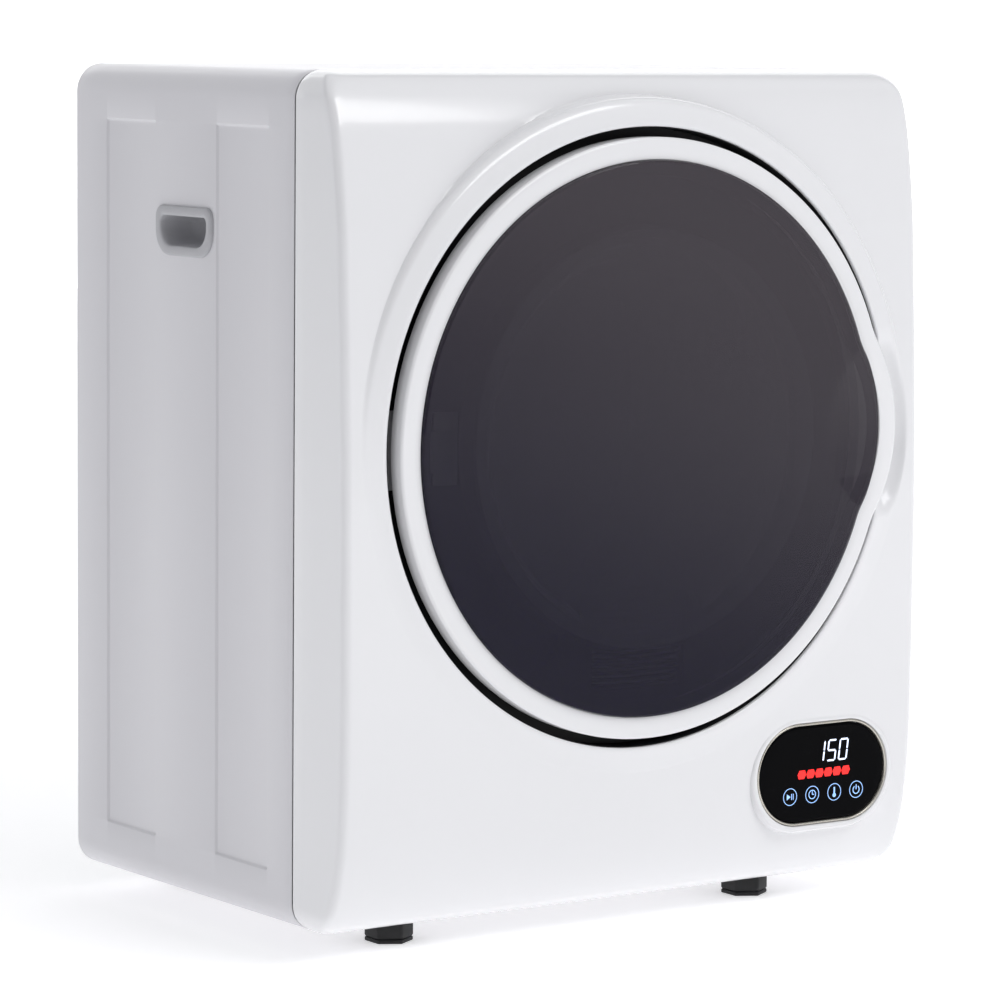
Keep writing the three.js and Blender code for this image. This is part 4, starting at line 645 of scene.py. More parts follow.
def door_radius(angle, grow):
    """Distance of the door's outline from its axis, with the grip's bulge at the right."""
    radius = PANE_RADIUS + grow
    arc = BULGE_ARC + grow
    centre = PANE_RADIUS + BULGE - BULGE_ARC
    along = centre * math.cos(angle)
    room = along * along - centre * centre + arc * arc
    if room <= 0 or along <= 0:
        return radius
    return smooth_max(radius, along + math.sqrt(room), 2.0 * MM)


def door_loop(grow, y, count=360):
    angles = spread(0, math.tau, count + 1)[:-1]
    return [
        Vector((door_radius(a, grow) * math.cos(a), y, Z_AXIS + door_radius(a, grow) * math.sin(a)))
        for a in angles
    ]


def stadium_loop(width, height, grow, y, centre, arc=40, straight=8):
    """A stadium's outline grown by a distance, at a depth."""
    radius = height / 2 + grow
    half = (width - height) / 2
    x, z = centre
    points = []
    for side, start in ((1, -math.pi / 2), (-1, math.pi / 2)):
        for a in spread(start, start + math.pi, arc):
            across, rise = side * half + radius * math.cos(a), radius * math.sin(a)
            points.append(Vector((x + across, y, z + rise)))
        ends = (side * half, -side * half)
        for t in spread(0, 1, straight + 2)[1:-1]:
            points.append(Vector((x + ends[0] + (ends[1] - ends[0]) * t, y, z + side * radius)))
    return points


def grip_loop(inset, x, arc=10):
    """The side grip's outline: flat along the top, round at the bottom."""
    low, high = GRIP[0], GRIP[1]
    y0, y1 = low.y + inset, high.y - inset
    z0, z1 = low.z + inset, high.z - inset
    large = (high.z - low.z) / 2 - inset / 2
    small = 8 * MM - inset / 2
    corners = [
        (y1 - large, z0 + large, large, -math.pi / 2),
        (y1 - small, z1 - small, small, 0),
        (y0 + small, z1 - small, small, math.pi / 2),
        (y0 + large, z0 + large, large, math.pi),
    ]
    points = []
    for cy, cz, r, start in corners:
        for a in spread(start, start + math.pi / 2, arc):
            points.append(Vector((x, cy + r * math.cos(a), cz + r * math.sin(a))))
    return points


# ---- Cabinet ----

PRESSINGS = [
    (Y_SEAM + 32 * MM, Y_SEAM + 99.5 * MM),
    (Y_REAR - 111 * MM, Y_REAR - 43.5 * MM),
]
PRESSING_Z = (Z_BOTTOM + 39 * MM, Z_TOP - 39 * MM)
PRESSING_SLOPE = 1.1 * MM


def around(value, width, count=5):
    return spread(value - width, value + width, count)


def pressed(y, z, depth):
    """How far a point of the side is pressed in."""
    upright = smooth_step(z, PRESSING_Z[0] - PRESSING_SLOPE, PRESSING_Z[0] + PRESSING_SLOPE)
    upright *= 1 - smooth_step(z, PRESSING_Z[1] - PRESSING_SLOPE, PRESSING_Z[1] + PRESSING_SLOPE)
    total = 0
    for y0, y1 in PRESSINGS:
        part = smooth_step(y, y0 - PRESSING_SLOPE, y0 + PRESSING_SLOPE)
        part *= 1 - smooth_step(y, y1 - PRESSING_SLOPE, y1 + PRESSING_SLOPE)
        total += part
    return depth * upright * total


def cabinet_sleeve(sizes):
    slope = PRESSING_SLOPE
    heights = [Z_BOTTOM + sizes.corner] + around(PRESSING_Z[0], slope, 7)
    heights += spread(PRESSING_Z[0] + 3 * slope, PRESSING_Z[1] - 3 * slope, 24)
    heights += around(PRESSING_Z[1], slope, 7) + [Z_TOP - sizes.corner]
    depths = [(Y_SEAM + 1.0 * MM, 0.9 * MM), (Y_SEAM, 0.5 * MM), (Y_SEAM + 0.15 * MM, 0.15 * MM)]
    depths.append((Y_SEAM + 0.6 * MM, 0))
    inner = []
    for y0, y1 in PRESSINGS:
        inner += around(y0, slope, 7) + [(y0 + y1) / 2] + around(y1, slope, 7)
    inner = [Y_SEAM + 12 * MM] + inner + [Y_REAR - 20 * MM, Y_REAR - 0.6 * MM]
    depths += [(y, 0) for y in inner]
    depths += [(Y_REAR - 0.15 * MM, 0.15 * MM), (Y_REAR, 0.6 * MM)]
    rings = []
    for y, inset in depths:
        ring = []
        for x, z in body_outline(inset, sizes.corner, heights):
            side = abs(abs(x) - (HALF_WIDTH - inset)) < 1e-7
            shift = pressed(y, z, sizes.pressing) if side else 0
            ring.append(Vector((math.copysign(abs(x) - shift, x), y, z)))
        rings.append(ring)
    skin = walled(loft(rings), 1.1 * MM)
    hole = []
    for side in (-1, 1):
        span = sorted((side * (HALF_WIDTH - 10 * MM), side * (HALF_WIDTH + 5 * MM)))
        hole.append(loft([grip_loop(3.5 * MM, x) for x in span], True, True))
    return cut_away(skin, hole)


def side_grip(side):
    out = side * HALF_WIDTH
    steps = [
        (0.0, 0.1), (0.0, 1.1), (0.4, 2.0), (1.3, 2.5), (5.6, 2.5), (6.6, 2.1), (7.0, 1.2),
        (7.2, -2.0), (8.0, -14.0), (9.4, -21.0), (11.4, -24.5), (14.6, -25.6),
    ]
    rings = [grip_loop(inset * MM, out + side * rise * MM) for inset, rise in steps]
    skin = loft(rings, False, True)
    return walled(skin, 1.2 * MM)


def levelling_foot(node):
    low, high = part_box(node)
    middle = ((low.x + high.x) / 2, (low.y + high.y) / 2)
    radius = (high.x - low.x) / 2

    def upright(r, z0, z1, sides):
        mesh = bmesh.new()
        place = Matrix.Translation((middle[0], middle[1], (z0 + z1) / 2))
        bmesh.ops.create_cone(
            mesh, cap_ends=True, segments=sides, radius1=r, radius2=r, depth=z1 - z0,
            matrix=place,
        )
        return mesh

    hex_radius = radius * 2 / math.sqrt(3)
    pad = soften(upright(hex_radius * 0.985, 0.0, 3 * MM, 6), 0.8 * MM, 3)
    nut = soften(upright(hex_radius, 3.2 * MM, 14 * MM, 6), 1.4 * MM, 4)
    neck = soften(upright(hex_radius * 0.58, 13.5 * MM, Z_BOTTOM - 0.3 * MM, 40), 0.5 * MM, 2)
    stud = upright(4 * MM, 14 * MM, high.z, 24)
    return gather([pad, nut, neck, stud])


class BuildCabinet(bpy.types.Operator):
    """Makes the enamelled sleeve with its pressed sides"""

    bl_idname = "dryer.cabinet"
    bl_label = "Cabinet"

    def execute(self, context):
        scene = context.scene
        finish = finishes(scene.dryer_colours)
        make_piece(
            cabinet_sleeve(scene.dryer_sizes), "enamelled_sleeve", "casing",
            finish["white_enamel"], ["cabinet_wrap"], 25,
        )
        return {"FINISHED"}


class BuildSideGrips(bpy.types.Operator):
    """Makes the grip cup in each side"""

    bl_idname = "dryer.side_grips"
    bl_label = "Side grips"

    def execute(self, context):
        finish = finishes(context.scene.dryer_colours)
        for side, name in ((-1, "left"), (1, "right")):
            make_piece(
                side_grip(side), f"grip_cup_{name}", "casing",
                finish["grey_plastic"], [f"side_grip_{name}"], 50,
            )
        return {"FINISHED"}


class BuildFeet(bpy.types.Operator):
    """Makes the four levelling feet"""

    bl_idname = "dryer.feet"
    bl_label = "Levelling feet"

    def execute(self, context):
        finish = finishes(context.scene.dryer_colours)
        for end in ("front", "rear"):
            for side in ("left", "right"):
                node = f"foot_{end}_{side}"
                make_piece(
                    levelling_foot(node), f"hex_foot_{end}_{side}", node,
                    finish["foot"], [node], 30,
                )
        return {"FINISHED"}


# ---- Front moulding ----


def bow_table():
    """Height above the body's bottom against depth from the seam, for the bowed front."""
    full = (Y_SEAM - Y_FASCIA) / MM
    tall = (Z_TOP - Z_BOTTOM) / MM
    curves = [
        [(14, 0), (46, 0), (64, 22), (full - 0.5, 120)],
        [(full - 0.5, 120), (full, 150), (full, 170), (full, 190)],
        [(full, 190), (full, 230), (full, tall - 330), (full, tall - 290)],
        [(full, tall - 290), (66, tall - 230), (62.5, tall - 150), (60, tall - 105)],
        [(60, tall - 105), (52, tall - 30), (48, tall), (16, tall)],
    ]
    heights, depths = [], []
    for curve in curves:
        for point in interpolate_bezier(*[Vector((d, h, 0)) for d, h in curve], 60):
            if not heights or point.y > heights[-1] + 1e-6:
                heights.append(point.y)
                depths.append(point.x)
    return heights, depths


BOW = bow_table()


def bow_depth(z):
    height = min(max((z - Z_BOTTOM) / MM, BOW[0][0]), BOW[0][-1])
    i = min(max(bisect.bisect_left(BOW[0], height), 1), len(BOW[0]) - 1)
    low, high = BOW[0][i - 1], BOW[0][i]
    t = (height - low) / (high - low)
    return (BOW[1][i - 1] * (1 - t) + BOW[1][i] * t) * MM


def edge_room(x, z, corner):
    """Distance of a point inside the cabinet's outline."""
    half_height = (Z_TOP - Z_BOTTOM) / 2
    dx = abs(x) - (HALF_WIDTH - corner)
    dz = abs(z - (Z_TOP + Z_BOTTOM) / 2) - (half_height - corner)
    outside = math.hypot(max(dx, 0), max(dz, 0))
    return corner - outside - min(max(dx, dz), 0)


def collar_depth(radius):
    """The raised collar round the door: a flat lip, a gentle fall and a round shoulder."""
    full = Y_SEAM - Y_FASCIA
    fall = 0.2 * max(radius - (RECESS_RADIUS + 3.5 * MM), 0)
    shoulder = RECESS_RADIUS + 15 * MM
    round_off = 5 * MM
    over = min(max(radius - shoulder, 0), round_off)
    depth = full - fall - (round_off - math.sqrt(round_off ** 2 - over ** 2))
    if radius > shoulder + round_off:
        depth -= (radius - shoulder - round_off) * 14
    return depth


def front_y(x, z, sizes):
    """Depth coordinate of the front moulding's face at a point."""
    room = min(max(edge_room(x, z, sizes.corner), 0), sizes.front_edge)
    rounding = sizes.front_edge - math.sqrt(
        max(sizes.front_edge ** 2 - (sizes.front_edge - room) ** 2, 0)
    )
    bow = bow_depth(z) - sizes.lip - rounding
    radius = math.hypot(x, z - Z_AXIS)
    depth = smooth_max(bow, collar_depth(radius), 1.6 * MM)
    u = (x - (RING_RADIUS + 5 * MM)) / (24 * MM)
    v = (z - Z_AXIS) / (64 * MM)
    inside = 1 - u * u - v * v
    if inside > 0:
        dish = Y_SEAM - Y_FASCIA + 3 * MM - 15 * MM * math.sqrt(inside)
        depth = -smooth_max(-depth, -dish, 2.5 * MM)
    return Y_SEAM - depth


def front_skin(sizes):
    heights = spread(Z_BOTTOM + sizes.corner, Z_TOP - sizes.corner, 81)
    outline = body_outline(0, sizes.corner, heights, 71, 12)
    angles = [math.atan2(z - Z_AXIS, x) for x, z in outline]
    recess = RECESS_RADIUS

    def circle(radius, depth=None):
        ring = []
        for a in angles:
            x, z = radius * math.cos(a), Z_AXIS + radius * math.sin(a)
            y = front_y(x, z, sizes) if depth is None else depth
            ring.append(Vector((x, y, z)))
        return ring

    lip = circle(recess)
    rings = [circle(recess, Y_FASCIA + 26 * MM)]
    for share in (0.4, 0.75, 0.93):
        rings.append([a.lerp(b, share) for a, b in zip(rings[0], lip)])
    rings.append([p + Vector((0, 1.2 * MM, 0)) for p in lip])
    for grow in (0.25, 0.9, 2.0, 3.5, 5, 7, 9, 11, 13, 15, 16.5, 17.8, 18.8, 19.5, 19.9, 20.2,
                 20.8, 21.8, 23):
        ring = circle(recess + grow * MM)
        drop = {0.25: 0.45 * MM, 0.9: 0.1 * MM}.get(grow, 0)
        rings.append([p + Vector((0, drop, 0)) for p in ring])
    start = recess + 23 * MM
    shares = (0.06, 0.13, 0.21, 0.3, 0.39, 0.48, 0.57, 0.65, 0.72, 0.78, 0.83, 0.87, 0.905,
              0.93, 0.95, 0.965, 0.978, 0.988, 0.994, 0.998, 1.0)
    for share in shares:
        ring = []
        for a, (ox, oz) in zip(angles, outline):
            far = math.hypot(ox, oz - Z_AXIS)
            radius = start + (far - start) * share
            x, z = radius * math.cos(a), Z_AXIS + radius * math.sin(a)
            ring.append(Vector((x, front_y(x, z, sizes), z)))
        rings.append(ring)
    edge = rings[-1]
    back = Y_FASCIA_REAR
    for share in (0.06, 0.3, 0.7):
        rings.append([Vector((p.x, p.y + (back - 0.6 * MM - p.y) * share, p.z)) for p in edge])
    for inset, y in ((0, back - 0.6 * MM), (0.15 * MM, back - 0.15 * MM), (0.6 * MM, back)):
        ring = body_outline(inset, sizes.corner, heights, 71, 12)
        rings.append([Vector((x, y, z)) for x, z in ring])
    return rings


def bowed_front(sizes):
    """The front moulding with the seat for the control panel cut through it."""
    seat = loft([
        stadium_loop(*CONTROL_SIZE, 4.2 * MM, y, CONTROL_CENTRE)
        for y in (Y_FASCIA - 10 * MM, Y_FASCIA + 24 * MM)
    ], True, True)
    return cut_away(walled(loft(front_skin(sizes)), 2.2 * MM), [seat])


def control_surround():
    """The raised white rim that the control panel sits in."""
    face = BEZEL[0].y - 0.5 * MM
    steps = [
        (10.5, 16.0), (8.2, 8.0), (7.6, 3.6), (7.2, 1.9), (6.4, 0.6), (5.2, 0.0), (3.4, 0.0),
        (2.8, 0.15), (2.5, 0.7), (2.5, 9.0),
    ]
    rings = [
        stadium_loop(*CONTROL_SIZE, grow * MM, face + depth * MM, CONTROL_CENTRE)
        for grow, depth in steps
    ]
    return loft(rings)


BRACKET_SLOT_X = (-203.3 * MM, -145 * MM)
BRACKET_SLOT_HALF = 27 * MM


def recess_lining():
    """The black lining of the gap round the door, with a slot for the hinge bracket."""
    outer = RECESS_RADIUS - 0.1 * MM
    front, back = Y_FASCIA + 2.6 * MM, THROAT[0].y - 0.1 * MM
    lip = RING_RADIUS - 12 * MM
    profile = [
        (outer - 0.5 * MM, front), (outer, front + 0.3 * MM), (outer, back), (lip, back),
        (lip, back - 0.5 * MM), (outer - 0.5 * MM, back - 0.5 * MM),
    ]
    slot = box_mesh(
        (BRACKET_SLOT_X[0], back - 2 * MM, Z_AXIS - BRACKET_SLOT_HALF),
        (BRACKET_SLOT_X[1], back + MM, Z_AXIS + BRACKET_SLOT_HALF),
    )
    return cut_away(turned(profile, AXIS, 200), [slot])


class BuildFront(bpy.types.Operator):
    """Makes the bowed front moulding and the rim of the control panel"""

    bl_idname = "dryer.front"
    bl_label = "Front moulding"

    def execute(self, context):
        scene = context.scene
        finish = finishes(scene.dryer_colours)
        make_piece(
            bowed_front(scene.dryer_sizes), "bowed_front", "casing",
            finish["white_gloss"], ["front_fascia"], 50,
        )
        make_piece(
            recess_lining(), "recess_lining", "casing", finish["print"], [], 30,
        )
        make_piece(
            walled(control_surround(), 1.0 * MM), "control_surround", "casing",
            finish["white_gloss"], [], 40,
        )
        return {"FINISHED"}


# ---- Controls ----

MARK_Y = GLASS[0].y
DIGIT_SEGMENTS = {"1": "bc", "5": "afgcd", "0": "abcdef"}


def trim_ring():
    steps = [
        (2.1, 2.6), (2.1, 0.6), (1.9, 0.12), (1.4, -0.1), (0.9, -0.05), (0.55, 0.3), (0.45, 1.2),
        (0.45, 3.2), (1.0, 3.2),
    ]
    rings = [
        stadium_loop(*CONTROL_SIZE, grow * MM, BEZEL[0].y + depth * MM, CONTROL_CENTRE)
        for grow, depth in steps
    ]
    return loft(rings)


def touch_glass():
    steps = [(0.0, 3.0), (0.0, 1.2), (-0.25, 0.5), (-0.9, 0.12), (-2.0, 0.0), (-8.0, 0.0)]
    rings = [
        stadium_loop(*CONTROL_SIZE, grow * MM, MARK_Y + depth * MM, CONTROL_CENTRE)
        for grow, depth in steps
    ]
    return loft(rings, True, True)


def flat_shape(points, y, thickness=0.12 * MM):
    """A thin plate from an outline in X and Z, standing just in front of a depth."""
    mesh = bmesh.new()
    verts = [mesh.verts.new((x, y, z)) for x, z in points]
    face = mesh.faces.new(verts)
    made = bmesh.ops.extrude_face_region(mesh, geom=[face])["geom"]
    moved = [item for item in made if isinstance(item, bmesh.types.BMVert)]
    bmesh.ops.translate(mesh, vec=(0, -thickness, 0), verts=moved)
    bmesh.ops.recalc_face_normals(mesh, faces=mesh.faces)
    return mesh


def bar(centre, size, slant=0.0, tip=0.5):
    """A bar with pointed ends along X, or along Z where it is taller than wide."""
    x, z = centre
    w, h = size[0] / 2, size[1] / 2
    if w >= h:
        outline = [(-w, 0), (-w + h * tip * 2, -h), (w - h * tip * 2, -h), (w, 0),
                   (w - h * tip * 2, h), (-w + h * tip * 2, h)]
    else:
        outline = [(0, -h), (w, -h + w * tip * 2), (w, h - w * tip * 2), (0, h),
                   (-w, h - w * tip * 2), (-w, -h + w * tip * 2)]
    return [(x + u + slant * v, z + v) for u, v in outline]


def digit(character, centre, size, slant):
    width, height = size
    thick = height * 0.085
    half = height / 4
    places = {
        "a": ((0, height / 2), (width, thick)),
        "g": ((0, 0), (width, thick)),
        "d": ((0, -height / 2), (width, thick)),
        "b": ((width / 2, half), (thick, height / 2)),
        "c": ((width / 2, -half), (thick, height / 2)),
        "f": ((-width / 2, half), (thick, height / 2)),
        "e": ((-width / 2, -half), (thick, height / 2)),
    }
    shapes = []
    for segment in DIGIT_SEGMENTS[character]:
        (dx, dz), (w, h) = places[segment]
        gap = thick * 0.25
        w, h = (w - gap, h) if w > h else (w, h - gap)
        place = (centre[0] + dx + slant * dz, centre[1] + dz)
        shapes.append(flat_shape(bar(place, (w, h), slant), MARK_Y))
    return shapes


def round_mark(centre, radius, width, start=0.0, turn=math.tau, steps=40):
    """Part of a flat ring."""
    angles = spread(start, start + turn, steps + 1)
    full = abs(turn - math.tau) < 1e-6
    mesh = bmesh.new()
    x, z = centre
    pairs = [
        (mesh.verts.new((x + radius * math.cos(a), MARK_Y, z + radius * math.sin(a))),
         mesh.verts.new((x + (radius - width) * math.cos(a), MARK_Y,
                         z + (radius - width) * math.sin(a))))
        for a in (angles[:-1] if full else angles)
    ]
    following = pairs[1:] + (pairs[:1] if full else [])
    for (a, b), (c, d) in zip(pairs, following):
        mesh.faces.new((a, c, d, b))
    made = bmesh.ops.extrude_face_region(mesh, geom=mesh.faces[:])["geom"]
    moved = [item for item in made if isinstance(item, bmesh.types.BMVert)]
    bmesh.ops.translate(mesh, vec=(0, -0.12 * MM, 0), verts=moved)
    bmesh.ops.recalc_face_normals(mesh, faces=mesh.faces)
    return mesh


def stroke(start, end, width):
    """A straight line of a symbol."""
    a, b = Vector(start), Vector(end)
    side = (b - a).orthogonal().normalized() * width / 2
    return flat_shape([tuple(a - side), tuple(b - side), tuple(b + side), tuple(a + side)], MARK_Y)


def key_symbols(x, z, pitch):
    """Start and pause, time, heat and power, each in its own ring."""
    start, clock, heat, power = (x + i * pitch for i in range(4))
    shapes = [round_mark((centre, z), 6.3 * MM, 0.5 * MM) for centre in (start, clock, heat, power)]
    shapes.append(flat_shape([
        (start - 3.0 * MM, z - 2.2 * MM), (start + 0.4 * MM, z), (start - 3.0 * MM, z + 2.2 * MM),
    ], MARK_Y))
    for shift in (1.4, 2.9):
        bar_x = start + shift * MM
        shapes.append(stroke((bar_x, z - 2.2 * MM), (bar_x, z + 2.2 * MM), 0.55 * MM))
    shapes.append(round_mark((clock, z), 3.4 * MM, 0.6 * MM))
    shapes.append(stroke((clock, z), (clock, z + 2.4 * MM), 0.6 * MM))
    shapes.append(stroke((clock, z), (clock + 1.7 * MM, z), 0.6 * MM))
    shapes.append(round_mark((heat, z - 2.3 * MM), 1.5 * MM, 1.2 * MM))
    shapes.append(stroke((heat, z - 1.6 * MM), (heat, z + 3.6 * MM), 1.3 * MM))
    shapes.append(round_mark(
        (power, z - 0.2 * MM), 3.2 * MM, 0.7 * MM, math.radians(125), math.radians(290)
    ))
    shapes.append(stroke((power, z), (power, z + 3.6 * MM), 0.7 * MM))
    return shapes


class BuildControls(bpy.types.Operator):
    """Makes the touch glass, its trim and the lit marks on it"""

    bl_idname = "dryer.controls"
    bl_label = "Controls"

    def execute(self, context):
        colours = context.scene.dryer_colours
        finish = finishes(colours)
        make_piece(trim_ring(), "glass_trim", "casing", finish["silver_trim"],
                   ["control_bezel"], 60)
        make_piece(touch_glass(), "touch_glass", "casing", finish["black_glass"],
                   ["control_glass"], 40)
        x, z = CONTROL_CENTRE
        digits = []
        for i, character in enumerate("150"):
            place = (x + (i - 0.15) * 10.6 * MM, z + 15.4 * MM)
            digits += digit(character, place, (7.0 * MM, 14.6 * MM), 0.12)
        make_piece(gather(digits), "time_digits", "casing",
                   lit_mark("blue white light guide", colours.digits, 1.0), [], 20)
        heat = []
        for i in range(6):
            heat.append(flat_shape(
                bar((x - 18.4 * MM + i * 8.1 * MM, z - 0.2 * MM), (7.7 * MM, 6.2 * MM), 0.12, 0.22),
                MARK_Y,
            ))
        make_piece(gather(heat), "heat_bar", "casing",
                   lit_mark("red light guide", colours.bar, 0.85), [], 20)
        symbols = gather(key_symbols(x - 28.9 * MM, z - 15.4 * MM, 20.4 * MM))
        make_piece(symbols, "key_symbols", "casing",
                   lit_mark("pale blue light guide", colours.symbols, 0.62), [], 20)
        return {"FINISHED"}


# ---- Door ----


BACK_FRAME_INNER = PANE_RADIUS - 6.2 * MM


def hinge_room():
    """The room that the hinge arm needs inside the door."""
    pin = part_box("hinge_pin")
    return (
        (pin[0].x - 5 * MM, pin[0].y - 3 * MM, Z_AXIS - 16 * MM),
        (HINGE_LEAF[0].x - 2.5 * MM, BACK_FRAME[1].y + 2 * MM, Z_AXIS + 16 * MM),
    )


def door_rim(sizes):
    front, back = RING[0].y, RING[1].y
    edge = sizes.ring_edge
    width = RING_RADIUS - PANE_RADIUS
    rings = [door_loop(0.3 * MM, y) for y in (PANE[1].y + 0.4 * MM, front + 1.0 * MM)]
    rings.append(door_loop(0.5 * MM, front + 0.2 * MM))
    rings.append(door_loop(1.0 * MM, front))
    rings.append(door_loop(width / 2, front))
    for angle in spread(0, math.pi / 2, 6):
        rings.append(door_loop(
            width - edge + edge * math.sin(angle), front + edge - edge * math.cos(angle)
        ))
    rings.append(door_loop(width, back - 0.5 * MM))
    rings.append(door_loop(width - 0.5 * MM, back))
    count = len(rings[0])
    for y in (back, PANE[1].y + 0.4 * MM):
        rings.append([
            Vector((BACK_FRAME_INNER * math.cos(a), y, Z_AXIS + BACK_FRAME_INNER * math.sin(a)))
            for a in spread(0, math.tau, count + 1)[:-1]
        ])
    rings.append(rings[0])
    mesh = loft(rings)
    bmesh.ops.remove_doubles(mesh, verts=mesh.verts, dist=1e-6)
    bmesh.ops.recalc_face_normals(mesh, faces=mesh.faces)
    return cut_away(mesh, [box_mesh(*hinge_room())])


def smoked_pane(sizes):
    front, back = PANE[0].y, PANE[1].y
    steps = [(-0.6, back), (0.0, back - 0.6 * MM), (0.0, front + 1.4 * MM),
             (-0.2, front + 0.7 * MM), (-0.7, front + 0.2 * MM), (-1.4, front)]
    rings = [door_loop(grow * MM, y) for grow, y in steps]
    pane = loft(rings, True, True)
    radius, depth = sizes.scoop_radius, sizes.scoop_depth
    ball = (radius ** 2 + depth ** 2) / (2 * depth)
    centre = (PANE_RADIUS + BULGE - sizes.scoop_inset + radius, Z_AXIS)
    reach = math.asin((radius + 6 * MM) / ball)
    profile = [
        (ball * math.sin(a), front + depth - ball + ball * math.cos(a))
        for a in spread(0, reach, 40)
    ]
    profile += [(profile[-1][0], front - 12 * MM), (0, front - 12 * MM)]
    return cut_away(pane, [turned(profile, centre, 240, False)])


def pane_border():
    """The printed border behind the pane's edge."""
    back = PANE[1].y
    rings = [
        door_loop(-0.5 * MM, back + 0.05 * MM), door_loop(-0.5 * MM, back + 0.25 * MM),
        door_loop(-9 * MM, back + 0.25 * MM), door_loop(-9 * MM, back + 0.05 * MM),
        door_loop(-0.5 * MM, back + 0.05 * MM),
    ]
    mesh = loft(rings)
    bmesh.ops.remove_doubles(mesh, verts=mesh.verts, dist=1e-7)
    bmesh.ops.recalc_face_normals(mesh, faces=mesh.faces)
    return mesh


def inner_dish():
    front, back = DISH[0].y, DISH[1].y
    radius = DISH[1].x
    wall = 2 * MM
    profile = [
        (0, back - wall), (radius - 17 * MM, back - wall), (radius - 9 * MM, front),
        (radius, front), (radius, front + wall), (radius - 8 * MM, front + wall),
        (radius - 16 * MM, back), (0, back),
    ]
    return soften(turned(profile, AXIS, 180, False), 0.6 * MM, 2, 20)


def frame_channel():
    inner = DISH[1].x + 0.4 * MM
    outer = PANE_RADIUS - 7.2 * MM
    wall = 3 * MM
    front, back = BACK_FRAME[0].y, BACK_FRAME[1].y
    plate = back - wall
    flange = RING[1].y + 0.3 * MM
    profile = [
        (inner, front), (inner + wall, front), (inner + wall, plate), (outer - wall, plate),
        (outer - wall, flange), (outer + 14 * MM, flange), (outer + 14 * MM, flange + 2.5 * MM),
        (outer, flange + 2.5 * MM), (outer, back), (inner, back),
    ]
    return soften(turned(profile, AXIS, 180), 0.5 * MM, 2)


FILTER_ROOM = (
    (LINT_FRAME[0].x - 0.3 * MM, LINT_FRAME[0].y - 0.3 * MM, LINT_FRAME[0].z - 0.3 * MM),
    (LINT_FRAME[1].x + 0.3 * MM, LINT_FRAME[1].y + 0.3 * MM, LINT_FRAME[1].z + 30 * MM),
)


def filter_hood():
    """The flared hood that the lint filter stands in."""
    top = LINT_FRAME[1].z - 4 * MM
    low = LINT_FRAME[0].z - 4 * MM
    half_top = LINT_FRAME[1].x + 4 * MM
    flare = 0.62 * (top - low)
    y0, y1 = LINT_FRAME[0].y - 2 * MM, BACK_FRAME[1].y

    def outline(grow, y):
        points = []
        corners = [
            (-half_top - flare - grow, low), (half_top + flare + grow, low),
            (half_top + grow, top + grow), (-half_top - grow, top + grow),
        ]
        for i, (x, z) in enumerate(corners):
            x2, z2 = corners[(i + 1) % 4]
            for t in spread(0, 1, 25)[:-1]:
                px, pz = x + (x2 - x) * t, z + (z2 - z) * t
                sag = 3.0 * MM * (1 - (px / half_top) ** 2) if i == 2 else 0
                reach = math.hypot(px, pz - Z_AXIS)
                limit = PANE_RADIUS - 8.5 * MM
                if reach > limit:
                    px, pz = px * limit / reach, Z_AXIS + (pz - Z_AXIS) * limit / reach
                points.append(Vector((px, y, pz - sag)))
        return points

    rings = [outline(0, y1), outline(0, y0 + 1.2 * MM), outline(-0.4 * MM, y0 + 0.3 * MM),
             outline(-1.2 * MM, y0)]
    return loft(rings, True, True)


def inner_frame():
    window = (
        (LINT_FRAME[0].x + 4 * MM, BACK_FRAME[0].y - 1 * MM, LINT_FRAME[0].z + 4 * MM),
        (LINT_FRAME[1].x - 4 * MM, BACK_FRAME[1].y + 1 * MM, LINT_FRAME[1].z - 10 * MM),
    )
    channel = cut_away(frame_channel(), [
        box_mesh(FILTER_ROOM[0], (FILTER_ROOM[1][0], FILTER_ROOM[1][1], LINT_FRAME[1].z - 35 * MM)),
        box_mesh(window[0], (window[1][0], window[1][1], window[1][2] - 30 * MM)),
        box_mesh(*hinge_room()),
    ])
    hood = cut_away(filter_hood(), [box_mesh(*FILTER_ROOM), box_mesh(*window)])
    return gather([channel, hood])


LOUVRE_PITCH = 4.4 * MM
LOUVRE_TURN = math.radians(38)
LOUVRE_SAG = 2.2 * MM


def louvre(half_length, place):
    """One level blade, turned and sagging towards its middle."""
    blade = box_mesh((-half_length, -0.5 * MM, -1.5 * MM), (half_length, 0.5 * MM, 1.5 * MM))
    edges = [e for e in blade.edges if abs(e.verts[0].co.x - e.verts[1].co.x) > 10 * MM]
    bmesh.ops.subdivide_edges(blade, edges=edges, cuts=15, use_grid_fill=True)
    bmesh.ops.rotate(
        blade, cent=(0, 0, 0), matrix=Matrix.Rotation(LOUVRE_TURN, 3, "X"), verts=blade.verts
    )
    for vertex in blade.verts:
        vertex.co.z -= LOUVRE_SAG * (1 - (vertex.co.x / LINT_FRAME[1].x) ** 2)
    bmesh.ops.translate(blade, vec=place, verts=blade.verts)
    return soften(blade, 0.15 * MM, 1)


def lint_grille():
    """The filter's frame with its row of level louvres and a tab on top."""
    low, high = LINT_FRAME
    rim = 6 * MM
    top = high.z - 4 * MM
    window = box_mesh(
        (low.x + rim, low.y - MM, low.z + rim), (high.x - rim, high.y + MM, top - rim)
    )
    plate = cut_away(box_mesh(low, (high.x, high.y, top)), [window])
    tab = box_mesh((-14 * MM, low.y, top - MM), (14 * MM, high.y, high.z))
    parts = [soften(plate, 0.5 * MM, 2), soften(tab, 0.8 * MM, 2)]
    y = (low.y + high.y) / 2 - 0.6 * MM
    z = top - rim - LOUVRE_PITCH * 0.5
    for i in range(int((z - low.z - rim) / LOUVRE_PITCH) + 1):
        parts.append(louvre(high.x - rim + 0.2 * MM, (0, y, z - i * LOUVRE_PITCH)))
    return gather(parts)


